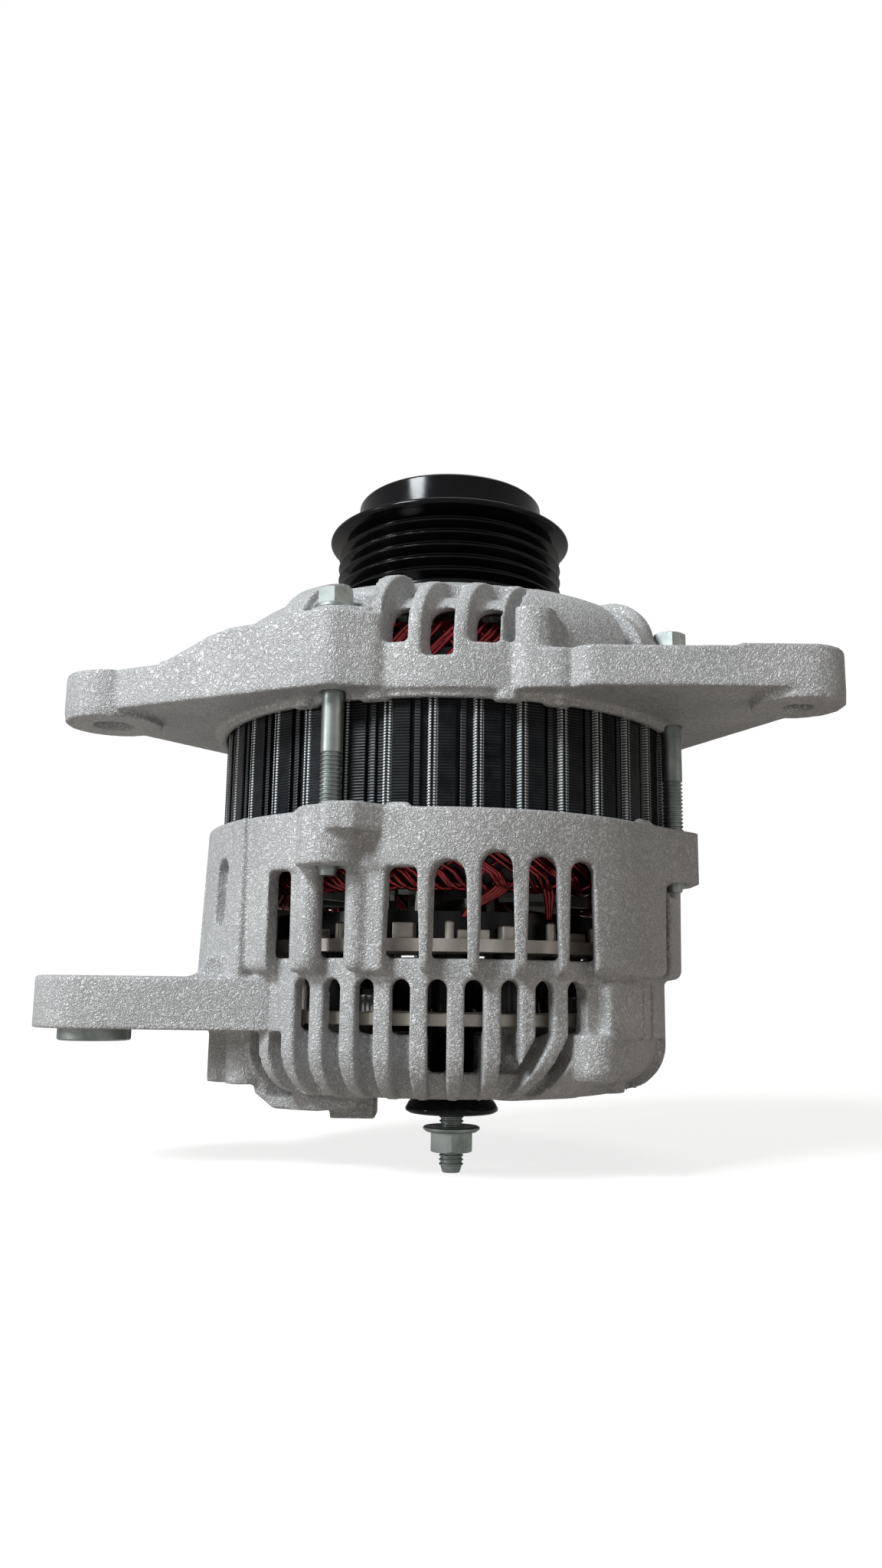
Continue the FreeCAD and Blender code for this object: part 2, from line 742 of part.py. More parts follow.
def rear_bearing_outer():
    """The outer race of the small rear bearing."""
    outer, inner, circle, low, high = rear_bearing()
    return race(REAR_BEARING_RADIUS, outer, low, high, circle, REAR_BALL_RADIUS)


def rear_bearing_inner():
    """Its inner race, on the shaft's rear journal."""
    outer, inner, circle, low, high = rear_bearing()
    return race(inner, inner - REAR_RACE_WALL, low, high, circle, REAR_BALL_RADIUS)


def rear_bearing_balls():
    """The rear bearing's balls."""
    outer, inner, circle, low, high = rear_bearing()
    return balls(circle, REAR_BALL_RADIUS, REAR_BALL_COUNT, (low + high) / 2)


def rear_bearing_shields():
    """The rear bearing's shields."""
    outer, inner, circle, low, high = rear_bearing()
    return shields(outer, inner, low, high)


def front_spacer():
    """The ring between the front bearing and the front fan."""
    bore = JOURNAL_RADIUS + SEAT_FIT
    return tube(bore + RACE_WALL, bore, POLE_FRONT + FAN_DISC, bearing_rear())


def pulley_spacer():
    """The ring between the front bearing and the clutch hub."""
    bore = JOURNAL_RADIUS + SEAT_FIT
    return tube(bore + RACE_WALL, bore, BEARING_FRONT, pulley_rear())


def retainer_screw_spots():
    """The places of the screws in the bearing's retainer plate."""
    step = 360 / RETAINER_SCREW_COUNT
    return [polar(RETAINER_SCREW_CIRCLE, (i + 0.5) * step) for i in range(RETAINER_SCREW_COUNT)]


def countersunk(spot, grow):
    """A countersunk screw under the front bearing, or its hole when grown."""
    low = bearing_rear() - RETAINER_THICKNESS
    cone_top = low + RETAINER_HEAD_RADIUS - RETAINER_SCREW_RADIUS
    head = Part.makeCone(
        RETAINER_HEAD_RADIUS + grow, RETAINER_SCREW_RADIUS + grow,
        cone_top - low, Vector(spot.x, spot.y, low))
    top = low + RETAINER_SCREW_LENGTH + grow
    shank = rod(RETAINER_SCREW_RADIUS + grow, low, top, spot.x, spot.y)
    return joined([shank, head])


def retainer_plate():
    """The plate that holds the front bearing in its housing."""
    low = bearing_rear() - RETAINER_THICKNESS
    plate = tube(RETAINER_RADIUS, RETAINER_HOLE, low, bearing_rear())
    return plate.cut([countersunk(spot, SEAT_FIT) for spot in retainer_screw_spots()])


def retainer_screws():
    """The retainer's countersunk screws."""
    return Part.makeCompound([countersunk(spot, 0.0) for spot in retainer_screw_spots()])


def stator_core():
    """The laminated core: slots inside, and a shallow notch behind each slot."""
    ring = tube(CORE_RADIUS, CORE_BORE, CORE_REAR, CORE_FRONT)
    slot_inner = CORE_BORE + TOOTH_TIP
    half = SLOT_WIDTH / 2
    mouth = SLOT_MOUTH / 2
    notch = NOTCH_WIDTH / 2
    slot = block(-half, half, -SLOT_OUTER_RADIUS, -slot_inner, CORE_REAR, CORE_FRONT)
    throat = block(-mouth, mouth, -slot_inner, -CORE_BORE + 1.0, CORE_REAR, CORE_FRONT)
    groove = block(
        -notch, notch, -CORE_RADIUS - 1.0, -CORE_RADIUS + NOTCH_DEPTH, CORE_REAR, CORE_FRONT)
    cutter = Part.makeCompound([slot.fuse(throat).removeSplitter(), groove])
    step = 360 / SLOT_COUNT
    return ring.cut([turned(cutter, (i + 0.5) * step) for i in range(SLOT_COUNT)])


def slot_liners():
    """The folded insulating sheet in each slot."""
    outer = SLOT_WIDTH / 2 - LINER_GAP
    inner = outer - LINER_THICKNESS
    back = SLOT_OUTER_RADIUS - LINER_GAP
    front = CORE_BORE + TOOTH_TIP + LINER_GAP
    low = CORE_REAR - LINER_OVERHANG
    high = CORE_FRONT + LINER_OVERHANG
    shell = block(-outer, outer, -back, -front, low, high)
    hollow = block(-inner, inner, -back + LINER_THICKNESS, -front + 1.0, low, high)
    liner = shell.cut(hollow)
    step = 360 / SLOT_COUNT
    return Part.makeCompound([turned(liner, (i + 0.5) * step) for i in range(SLOT_COUNT)])


def crown(near, far):
    """The ring of end turns at one end of the core, rounded at its far end."""
    sign = 1 if far > near else -1
    shoulder = far - sign * CROWN_ROUND
    diagonal = CROWN_ROUND * (1 - math.sqrt(0.5))
    corner = far - sign * diagonal
    return revolved([
        (CROWN_INNER_RADIUS, near),
        (CROWN_OUTER_RADIUS, near),
        (CROWN_OUTER_RADIUS, shoulder),
        (CROWN_OUTER_RADIUS - diagonal, corner, CROWN_OUTER_RADIUS - CROWN_ROUND, far),
        (CROWN_INNER_RADIUS + CROWN_ROUND, far),
        (CROWN_INNER_RADIUS + diagonal, corner, CROWN_INNER_RADIUS, shoulder),
    ])


def stator_winding():
    """A bar of copper in each slot, joined by a crown of end turns at both ends."""
    half = SLOT_WIDTH / 2 - 2 * LINER_GAP - LINER_THICKNESS
    back = SLOT_OUTER_RADIUS - 2 * LINER_GAP - LINER_THICKNESS
    front = CORE_BORE + TOOTH_TIP + 2 * LINER_GAP
    low = CORE_REAR - LINER_OVERHANG - 1.0
    high = CORE_FRONT + LINER_OVERHANG + 1.0
    bar = block(-half, half, -back, -front, low, high)
    step = 360 / SLOT_COUNT
    bars = [turned(bar, (i + 0.5) * step) for i in range(SLOT_COUNT)]
    crowns = [
        crown(CORE_FRONT + LINER_OVERHANG + LINER_GAP, FRONT_CROWN_TOP),
        crown(CORE_REAR - LINER_OVERHANG - LINER_GAP, REAR_CROWN_END),
    ]
    return joined(crowns + bars)


def winding_leads():
    """The three phase leads, from the winding to the rectifier's terminals."""
    leads = []
    for azimuth in LEAD_AZIMUTHS:
        spot = polar(LEAD_CIRCLE, azimuth)
        leads.append(rod(LEAD_RADIUS, BLOCK_TOP, REAR_CROWN_END, spot.x, spot.y))
    return Part.makeCompound(leads)


def claw(root, tip):
    """One tapered claw at azimuth zero, from its root face to its tip."""
    reach = tip - root
    sign = 1 if reach > 0 else -1
    chamfer = sign * CLAW_CHAMFER
    wedge = outline(
        [(-CLAW_ROOT_WIDTH / 2, root), (CLAW_ROOT_WIDTH / 2, root),
         (CLAW_TIP_WIDTH / 2, tip), (-CLAW_TIP_WIDTH / 2, tip)],
        lambda x, height: Vector(x, -POLE_DISC_RADIUS / 2, height))
    wedge = wedge.extrude(Vector(0, -POLE_RADIUS, 0))
    shell = revolved([
        (POLE_DISC_RADIUS / 2 + 1.0, root),
        (POLE_RADIUS - CLAW_CHAMFER, root),
        (POLE_RADIUS, root + chamfer),
        (POLE_RADIUS, tip),
        (POLE_RADIUS - CLAW_TIP_DEPTH, tip),
        (POLE_RADIUS - CLAW_ROOT_DEPTH, root + sign * POLE_DISC),
        (POLE_DISC_RADIUS / 2 + 1.0, root + sign * POLE_DISC),
    ])
    return shell.common(wedge)


def claw_pole(root, other_root, azimuth):
    """Half of the pole wheel: its core, its disc and its claws."""
    sign = 1 if other_root > root else -1
    tip = other_root - sign * CLAW_TIP_SETBACK
    face = root + sign * POLE_DISC
    middle = (root + other_root) / 2
    step = 360 / POLE_COUNT
    finger = claw(root, tip)
    hub_radius = (POLE_DISC_RADIUS + POLE_CORE_RADIUS) / 2 + 3.0
    core = rod(POLE_CORE_RADIUS, min(face, middle), max(face, middle))
    disc = rod(hub_radius, min(root, face), max(root, face))
    bore = rod(ROTOR_SEAT_RADIUS + SEAT_FIT, min(root, middle), max(root, middle))
    fingers = [turned(finger, azimuth + i * step) for i in range(POLE_COUNT)]
    return joined([disc, core] + fingers).cut(bore).removeSplitter()


def coil_ends():
    """The heights between which the field coil's bobbin sits."""
    low = POLE_REAR + POLE_DISC + HAND_GAP
    high = POLE_FRONT - POLE_DISC - HAND_GAP
    return low, high


def coil_bobbin():
    """The plastic bobbin between the two pole wheels."""
    low, high = coil_ends()
    inner = POLE_CORE_RADIUS + SEAT_FIT
    return revolved([
        (inner, low),
        (BOBBIN_FLANGE_RADIUS, low),
        (BOBBIN_FLANGE_RADIUS, low + BOBBIN_WALL),
        (inner + BOBBIN_WALL, low + BOBBIN_WALL),
        (inner + BOBBIN_WALL, high - BOBBIN_WALL),
        (BOBBIN_FLANGE_RADIUS, high - BOBBIN_WALL),
        (BOBBIN_FLANGE_RADIUS, high),
        (inner, high),
    ])


def field_coil():
    """The field winding on its bobbin."""
    low, high = coil_ends()
    inner = POLE_CORE_RADIUS + SEAT_FIT + BOBBIN_WALL + SEAT_FIT
    return tube(COIL_RADIUS, inner, low + BOBBIN_WALL + SEAT_FIT, high - BOBBIN_WALL - SEAT_FIT)


def fan(face, away, blade_count, blade_height):
    """A sheet-metal fan on a pole wheel, with its blades leaning back."""
    disc_low = min(face, face + away * FAN_DISC)
    disc = rod(FAN_DISC_RADIUS, disc_low, disc_low + FAN_DISC)
    blade_low = face + away * FAN_DISC / 2 if away > 0 else face - FAN_DISC - blade_height
    blade_high = blade_low + blade_height + FAN_DISC / 2
    half = BLADE_THICKNESS / 2
    length = BLADE_OUTER_RADIUS - BLADE_INNER_RADIUS
    blade = block(-half, half, -length, 0, blade_low, blade_high)
    blade.rotate(Vector(0, 0, 0), Vector(0, 0, 1), BLADE_LEAN)
    blade.translate(Vector(0, -BLADE_INNER_RADIUS, 0))
    blades = [turned(blade, i * 360 / blade_count) for i in range(blade_count)]
    bore = rod(ROTOR_SEAT_RADIUS + SEAT_FIT, disc_low, disc_low + FAN_DISC)
    return joined([disc] + blades).cut(bore)


def slip_ring_sleeve():
    """The insulating sleeve under the slip rings."""
    top = UPPER_RING_CENTRE + RING_WIDTH / 2 + SLEEVE_MARGIN
    bottom = LOWER_RING_CENTRE - RING_WIDTH / 2 - SLEEVE_MARGIN
    return tube(RING_RADIUS - RING_WALL - SEAT_FIT, RING_SEAT_RADIUS + SEAT_FIT, bottom, top)


def slip_rings():
    """The two copper rings that feed the field coil."""
    inner = RING_RADIUS - RING_WALL
    half = RING_WIDTH / 2
    centres = (UPPER_RING_CENTRE, LOWER_RING_CENTRE)
    return Part.makeCompound([tube(RING_RADIUS, inner, z - half, z + half) for z in centres])


def brush_tip():
    """The radius of the brushes' hollowed tips."""
    return RING_RADIUS + BRUSH_GAP


def brush(centre):
    """A carbon brush, hollowed at its tip to the slip ring's curve."""
    half = BRUSH_WIDTH / 2
    low = centre - BRUSH_HEIGHT / 2
    bar = block(-half, half, 0, brush_tip() + BRUSH_LENGTH, low, low + BRUSH_HEIGHT)
    return bar.cut(rod(brush_tip(), low, low + BRUSH_HEIGHT))


def brush_spring(centre):
    """The coil spring behind a brush, wound along Y."""
    start = brush_tip() + BRUSH_LENGTH
    pitch = SPRING_LENGTH / SPRING_TURNS
    wire = SPRING_WIRE
    helix = Part.Wire(Part.makeHelix(pitch, SPRING_LENGTH - 2 * wire, SPRING_RADIUS))
    corners = [(-wire, -wire), (wire, -wire), (wire, wire), (-wire, wire), (-wire, -wire)]
    section = Part.makePolygon([Vector(SPRING_RADIUS + a, 0, b) for a, b in corners])
    coil = helix.makePipeShell([section], True, True)
    coil.rotate(Vector(0, 0, 0), Vector(1, 0, 0), -90)
    coil.translate(Vector(0, start + wire, centre))
    return coil


def brush_holder():
    """The plastic box that guides both brushes and backs their springs."""
    body = block(
        -HOLDER_HALF_WIDTH, HOLDER_HALF_WIDTH, HOLDER_FRONT, HOLDER_BACK,
        HOLDER_BOTTOM, HOLDER_TOP)
    half = BRUSH_WIDTH / 2 + HAND_GAP
    rise = BRUSH_HEIGHT / 2 + HAND_GAP
    end = brush_tip() + BRUSH_LENGTH + SPRING_LENGTH
    channels = []
    for centre in (UPPER_RING_CENTRE, LOWER_RING_CENTRE):
        channels.append(block(-half, half, HOLDER_FRONT - 1.0, end, centre - rise, centre + rise))
    return body.cut(channels)


def regulator_screw_spots():
    """The places of the two screws that hold the regulator."""
    return [Vector(x, REGULATOR_SCREW_Y, 0) for x in (-REGULATOR_SCREW_X, REGULATOR_SCREW_X)]


def inner_plate_face():
    """The height of the inner face of the rear bracket's end plate."""
    return REAR_FACE + REAR_PLATE


def regulator_body():
    """The regulator's plastic base, under the brush holder."""
    body = block(
        -REGULATOR_HALF_WIDTH, REGULATOR_HALF_WIDTH, REGULATOR_NEAR, REGULATOR_FAR,
        inner_plate_face(), REGULATOR_SEAT)
    holes = []
    for spot in regulator_screw_spots():
        holes.append(rod(SCREW_HOLE, inner_plate_face(), REGULATOR_SEAT - 2.0, spot.x, spot.y))
    return body.common(rear_hollow(HAND_GAP)).cut(holes)


def regulator_heat_sink():
    """The finned aluminium block behind the brush holder."""
    half = REGULATOR_HALF_WIDTH
    base_top = REGULATOR_SEAT + HEAT_SINK_BASE
    shapes = [block(-half, half, HEAT_SINK_NEAR, REGULATOR_FAR, REGULATOR_SEAT, base_top)]
    step = (2 * half - FIN_THICKNESS) / (FIN_COUNT - 1)
    for i in range(FIN_COUNT):
        x = -half + i * step
        shapes.append(block(
            x, x + FIN_THICKNESS, HEAT_SINK_NEAR, REGULATOR_FAR, REGULATOR_SEAT, HEAT_SINK_TOP))
    return joined(shapes)


def rounded_bar(half_width, low, high, near, far, corner):
    """A bar along Y with rounded edges."""
    d = corner * (1 - math.sqrt(0.5))
    w = half_width
    points = [
        (w, low + corner), (w, high - corner), (w - d, high - d, w - corner, high),
        (corner - w, high), (d - w, high - d, -w, high - corner), (-w, low + corner),
        (d - w, low + d, corner - w, low), (w - corner, low),
        (w - d, low + d, w, low + corner)]
    face = outline(points[1:], lambda x, height: Vector(x, near, height))
    return face.extrude(Vector(0, far - near, 0))


def socket_near():
    """Where the plug socket meets the regulator."""
    return REGULATOR_FAR


def plug_socket():
    """The shroud that takes the harness plug, behind the regulator."""
    wall = SOCKET_WALL
    shroud = rounded_bar(
        SOCKET_HALF_WIDTH, SOCKET_BOTTOM, SOCKET_TOP, socket_near(), SOCKET_END, SOCKET_CORNER)
    hollow = rounded_bar(
        SOCKET_HALF_WIDTH - wall, SOCKET_BOTTOM + wall, SOCKET_TOP - wall,
        socket_near() + SOCKET_FLOOR, SOCKET_END, SOCKET_CORNER - wall)
    return shroud.cut([hollow] + [pin_blade(x, SEAT_FIT) for x in pin_places()])


def pin_places():
    """The sideways places of the plug's blades."""
    return [-PIN_PITCH, 0.0, PIN_PITCH]


def pin_blade(x, grow):
    """One flat blade of the plug, or its slot when grown."""
    middle = (SOCKET_TOP + SOCKET_BOTTOM) / 2
    half = PIN_WIDTH / 2 + grow
    thick = PIN_THICKNESS / 2 + grow
    return block(
        x - half, x + half, socket_near(), SOCKET_END - PIN_INSET, middle - thick, middle + thick)


def socket_pins():
    """The blades in the plug socket."""
    return Part.makeCompound([pin_blade(x, 0.0) for x in pin_places()])


def post_spots():
    """The places of the three posts that carry the rectifier."""
    return [polar(POST_CIRCLE, azimuth) for azimuth in POST_AZIMUTHS]


def rectifier_plate(low, high, stud_hole, diode_azimuths):
    """A crescent heat sink with its screw holes, stud hole and diode seats."""
    first, last = PLATE_AZIMUTHS
    plate = sector(PLATE_INNER_RADIUS, PLATE_OUTER_RADIUS, low, high, first, last)
    holes = [rod(SCREW_HOLE, low, high, spot.x, spot.y) for spot in post_spots()]
    holes.append(rod(stud_hole, low, high, STUD_X, STUD_Y))
    for azimuth in diode_azimuths:
        spot = polar(DIODE_CIRCLE, azimuth)
        holes.append(rod(DIODE_RADIUS + SEAT_FIT, low, high, spot.x, spot.y))
    return plate.cut(holes)


def negative_plate():
    """The earthed heat sink, on the bracket's posts."""
    clearance = INSULATOR_SLEEVE + TURNING_GAP
    return rectifier_plate(
        NEGATIVE_PLATE_BOTTOM, NEGATIVE_PLATE_TOP, clearance, DIODE_AZIMUTHS)


def positive_plate():
    """The live heat sink, which the output stud is bolted to."""
    return rectifier_plate(
        POSITIVE_PLATE_BOTTOM, POSITIVE_PLATE_TOP, STUD_RADIUS + SEAT_FIT, DIODE_AZIMUTHS)


def diodes(low, away):
    """Press-fit diodes, each a cup with its wire."""
    solids = []
    for azimuth in DIODE_AZIMUTHS:
        spot = polar(DIODE_CIRCLE, azimuth)
        cup = rod(DIODE_RADIUS, low, low + DIODE_HEIGHT, spot.x, spot.y)
        wire_low = low - 3.0 if away < 0 else low + DIODE_HEIGHT
        wire = rod(LEAD_RADIUS, wire_low, wire_low + 3.0, spot.x, spot.y)
        solids.append(joined([cup, wire]))
    return Part.makeCompound(solids)


def insulating_spacers():
    """The tubes that keep the two heat sinks apart."""
    return Part.makeCompound([
        tube(SPACER_RADIUS, SCREW_HOLE, NEGATIVE_PLATE_TOP, POSITIVE_PLATE_BOTTOM, s.x, s.y)
        for s in post_spots()])


def terminal_block():
    """The moulding on the live plate, where the winding's leads end."""
    first, last = PLATE_AZIMUTHS
    body = sector(
        BLOCK_INNER_RADIUS, BLOCK_OUTER_RADIUS, POSITIVE_PLATE_TOP, BLOCK_TOP,
        first + 3.0, last - 3.0)
    top = BLOCK_TOP - 2.0
    holes = [rod(SCREW_HOLE, POSITIVE_PLATE_TOP, top, s.x, s.y) for s in post_spots()]
    return body.cut(holes)


def pan_screw(spot, head_face, top):
    """A screw with a round head under the rear bracket's end plate."""
    head = rod(SCREW_HEAD_RADIUS, head_face - SCREW_HEAD_HEIGHT, head_face, spot.x, spot.y)
    shank = rod(SCREW_RADIUS, head_face, top, spot.x, spot.y)
    return joined([head, shank])


def sunk_face():
    """The height on which the rectifier screws' sunk heads bear."""
    return REAR_FACE + SCREW_HEAD_HEIGHT + HAND_GAP


def rectifier_screws():
    """The screws that clamp the rectifier to the rear bracket."""
    top = BLOCK_TOP - 2.0 - HAND_GAP
    return Part.makeCompound([pan_screw(spot, sunk_face(), top) for spot in post_spots()])


def regulator_screws():
    """The screws that hold the regulator to the rear bracket."""
    top = REGULATOR_SEAT - 2.0 - HAND_GAP
    spots = regulator_screw_spots()
    return Part.makeCompound([pan_screw(spot, REAR_FACE, top) for spot in spots])


def output_stud():
    """The output stud: a head on the live plate, a thread that is drawn at its root
    inside the nut, a free end for the cable's eye, and a dog point."""
    low = STUD_TIP + STUD_POINT
    free = NUT_BOTTOM - TURNING_GAP
    high = POSITIVE_PLATE_TOP + STUD_HEAD_HEIGHT
    return joined([
        rod(STUD_RADIUS, NUT_FLANGE_TOP, POSITIVE_PLATE_TOP, STUD_X, STUD_Y),
        rod(STUD_ROOT_RADIUS, STUD_TIP, NUT_FLANGE_TOP, STUD_X, STUD_Y),
        rod(STUD_RADIUS, low, free, STUD_X, STUD_Y),
        rod(STUD_HEAD_RADIUS, POSITIVE_PLATE_TOP, high, STUD_X, STUD_Y),
    ])


def terminal_insulator():
    """The black bush round the stud, flared like a cup below the bracket."""
    flare = INSULATOR_BOTTOM + INSULATOR_LIP
    points = [
        (STUD_RADIUS + SEAT_FIT, INSULATOR_BOTTOM + 2 * INSULATOR_LIP),
        (INSULATOR_RADIUS - INSULATOR_DISH, INSULATOR_BOTTOM),
        (INSULATOR_RADIUS - 1.0, INSULATOR_BOTTOM),
        (INSULATOR_RADIUS, flare),
        (INSULATOR_NECK, REAR_FACE),
        (INSULATOR_SLEEVE, REAR_FACE),
        (INSULATOR_SLEEVE, POSITIVE_PLATE_BOTTOM),
        (STUD_RADIUS + SEAT_FIT, POSITIVE_PLATE_BOTTOM),
    ]
    bush = revolved(points)
    bush.translate(Vector(STUD_X, STUD_Y, 0))
    return bush


def terminal_nut():
    """The flange nut on the output stud."""
    flange_low = NUT_FLANGE_TOP - NUT_FLANGE_THICKNESS
    flange = rod(NUT_FLANGE_RADIUS, flange_low, NUT_FLANGE_TOP, STUD_X, STUD_Y)
    body = hexagon(NUT_ACROSS_FLATS, NUT_BOTTOM, flange_low, STUD_X, STUD_Y)
    bore = rod(STUD_ROOT_RADIUS + SEAT_FIT, NUT_BOTTOM, NUT_FLANGE_TOP, STUD_X, STUD_Y)
    return joined([flange, body]).cut(bore)


def through_bolts():
    """The long bolts that clamp the stator between the brackets."""
    bolts = []
    washer_top = BOLT_SEAT + BOLT_WASHER_THICKNESS
    for azimuth in bolt_azimuths():
        spot = polar(BOLT_CIRCLE, azimuth)
        bolts.append(joined([
            rod(BOLT_RADIUS, BOLT_END, BOLT_SEAT, spot.x, spot.y),
            rod(BOLT_WASHER_RADIUS, BOLT_SEAT, washer_top, spot.x, spot.y),
            hexagon(
                BOLT_HEAD_ACROSS_FLATS, washer_top, washer_top + BOLT_HEAD_HEIGHT,
                spot.x, spot.y),
        ]))
    return Part.makeCompound(bolts)


def dome_point(radius, angle):
    """A point of the front dome's section, at an angle above the horizontal."""
    turn = math.radians(angle)
    return DOME_CENTRE_RADIUS + radius * math.cos(turn), DOME_CENTRE_HEIGHT + radius * math.sin(turn)


def front_shell():
    """The front bracket's turned shape: seat rim, band, dome, plate and bearing hub."""
    outer = BAND_RADIUS - DOME_CENTRE_RADIUS
    inner = CAVITY_RADIUS - DOME_CENTRE_RADIUS
    seat = CORE_RADIUS + HAND_GAP
    return revolved([
        (SEAT_RIM_RADIUS, SEAT_RIM_BOTTOM),
        (SEAT_RIM_RADIUS, BAND_BOTTOM),
        (BAND_RADIUS, BAND_BOTTOM),
        (BAND_RADIUS, DOME_CENTRE_HEIGHT),
        dome_point(outer, MIDWAY) + dome_point(outer, 90),
        (PLATE_RADIUS, PLATE_TOP),
        (HUB_HOLE_RADIUS, PLATE_TOP),
        (HUB_HOLE_RADIUS, BEARING_FRONT),
        (BEARING_RADIUS + SEAT_FIT, BEARING_FRONT),
        (BEARING_RADIUS + SEAT_FIT, bearing_rear()),
        (HUB_BOSS_RADIUS, bearing_rear()),
        (HUB_BOSS_RADIUS, dome_point(inner, 90)[1]),
        dome_point(inner, 90),
        dome_point(inner, MIDWAY) + dome_point(inner, 0),
        (CAVITY_RADIUS, CORE_FRONT),
        (seat, CORE_FRONT),
        (seat, SEAT_RIM_BOTTOM),
    ])


def dome_skin(low):
    """The outer skin of the dome, down to a height, which the vents' pockets remove."""
    floor = CAVITY_RADIUS - DOME_CENTRE_RADIUS + DOME_WALL
    far = BAND_RADIUS + OVERCUT
    return revolved([
        (far, low),
        (far, PLATE_TOP + 2.0),
        (DOME_CENTRE_RADIUS, PLATE_TOP + 2.0),
        dome_point(floor, 90),
        dome_point(floor, MIDWAY) + dome_point(floor, 0),
        (DOME_CENTRE_RADIUS + floor, low),
    ])


def vent_pocket(first, last, low, pull):
    """A pocket between two ribs, cut straight in at the pull's azimuth."""
    left = across(BAND_RADIUS, first, pull)
    right = across(BAND_RADIUS, last, pull)
    face = math.sqrt(BAND_RADIUS ** 2 - ((left + right) / 2) ** 2)
    lane = upright_slot(
        right - left, face - VENT_REACH, BAND_RADIUS + OVERCUT, low, PLATE_TOP + 2.0, 0.0)
    lane.translate(Vector((left + right) / 2, 0, 0))
    return dome_skin(low).common(turned(lane, pull))


def vent_window(first, last, low, pull):
    """The arched window through the lower part of a pocket."""
    left = across(BAND_RADIUS, first, pull)
    right = across(BAND_RADIUS, last, pull)
    face = math.sqrt(BAND_RADIUS ** 2 - ((left + right) / 2) ** 2)
    window = radial_slot(
        right - left, low, VENT_WINDOW_TOP, face - VENT_REACH, BAND_RADIUS + OVERCUT, 0.0,
        True, low < VENT_FLOOR)
    window.translate(Vector((left + right) / 2, 0, 0))
    return turned(window, pull)


def vent_cutters():
    """The vents: slanted ones and a groove in front, and regular ones further round."""
    first, last, low = GROOVE_VENT
    cutters = [vent_pocket(first, last, low, VENT_PULL)]
    for first, last, low in VENTS:
        cutters.append(vent_pocket(first, last, low, VENT_PULL))
        cutters.append(vent_window(first, last, low, VENT_PULL))
    half = math.degrees(math.asin(VENT_WIDTH / 2 / BAND_RADIUS))
    for azimuth in pattern(VENT_GROUPS, VENT_PITCH):
        cutters.append(vent_pocket(azimuth - half, azimuth + half, VENT_FLOOR, azimuth))
        cutters.append(vent_window(azimuth - half, azimuth + half, VENT_FLOOR, azimuth))
    return cutters


def pivot_ear():
    """The left ear: an eye round the pivot hole, and a web that slopes up to the bolt boss."""
    boss = polar(BOLT_CIRCLE, FIRST_BOLT_AZIMUTH)
    plan = hull_of_circles(
        [(PIVOT_X, PIVOT_Y, PIVOT_WEB_RADIUS), (boss.x, boss.y, BOLT_BOSS_RADIUS),
         PIVOT_EAR_ROOT], BAND_BOTTOM, BOLT_SEAT)
    end = PIVOT_X - 2 * PIVOT_EAR_RADIUS
    root_top = PIVOT_EAR_SLOPE[-1][-1]
    side = outline(
        [(end, BAND_BOTTOM), (0, BAND_BOTTOM), (0, root_top)]
        + list(reversed(PIVOT_EAR_SLOPE)) + [(end, PIVOT_EAR_TOP)],
        lambda x, height: Vector(x, 0, height))
    side.translate(Vector(0, -2 * BAND_RADIUS, 0))
    web = plan.common(side.extrude(Vector(0, 3 * BAND_RADIUS, 0)))
    eye = rod(PIVOT_EAR_RADIUS, BAND_BOTTOM, PIVOT_EAR_TOP, PIVOT_X, PIVOT_Y)
    face = rod(PIVOT_BOSS_RADIUS, PIVOT_BOSS_FACE, BAND_BOTTOM, PIVOT_X, PIVOT_Y)
    x, y, radius, top = EAR_BUMP
    return [web, eye, face, rod(radius, BAND_BOTTOM, top, x, y)]


def adjuster_ear():
    """The right ear: a flat link with a raised pad and a machined boss."""
    tip = (ADJUSTER_X, ADJUSTER_Y, ADJUSTER_EAR_RADIUS)
    circles = [tip, ADJUSTER_FAR_ROOT, ADJUSTER_NEAR_ROOT]
    ear = hull_of_circles(circles, BAND_BOTTOM, ADJUSTER_EAR_TOP)
    pad = hull_of_circles(circles, ADJUSTER_EAR_TOP, ADJUSTER_PAD_TOP)
    keep = block(
        ADJUSTER_PAD_X, ADJUSTER_X + 2 * ADJUSTER_EAR_RADIUS, -2 * BAND_RADIUS, 0,
        ADJUSTER_EAR_TOP, ADJUSTER_PAD_TOP)
    face = rod(ADJUSTER_BOSS_RADIUS, ADJUSTER_BOSS_FACE, BAND_BOTTOM, ADJUSTER_X, ADJUSTER_Y)
    return [ear, pad.common(keep), face]


def arch_rib(azimuth, width, rise, pull):
    """A thick arched rib that stands above the dome."""
    outer = BAND_RADIUS - DOME_CENTRE_RADIUS + rise
    floor = CAVITY_RADIUS - DOME_CENTRE_RADIUS + DOME_WALL / 2
    rim = revolved([
        (DOME_CENTRE_RADIUS + outer, DOME_CENTRE_HEIGHT),
        dome_point(outer, MIDWAY) + dome_point(outer, 90),
        dome_point(floor, 90),
        dome_point(floor, MIDWAY) + dome_point(floor, 0),
    ])
    lane = block(
        -width / 2, width / 2, -BAND_RADIUS - OVERCUT, -CAVITY_RADIUS + VENT_REACH,
        DOME_CENTRE_HEIGHT, PLATE_TOP + rise)
    lane.translate(Vector(across(BAND_RADIUS, azimuth, pull), 0, 0))
    flush = rod(BAND_RADIUS + HAND_GAP, DOME_CENTRE_HEIGHT, PLATE_TOP + rise)
    return rim.common(turned(lane, pull)).common(flush)


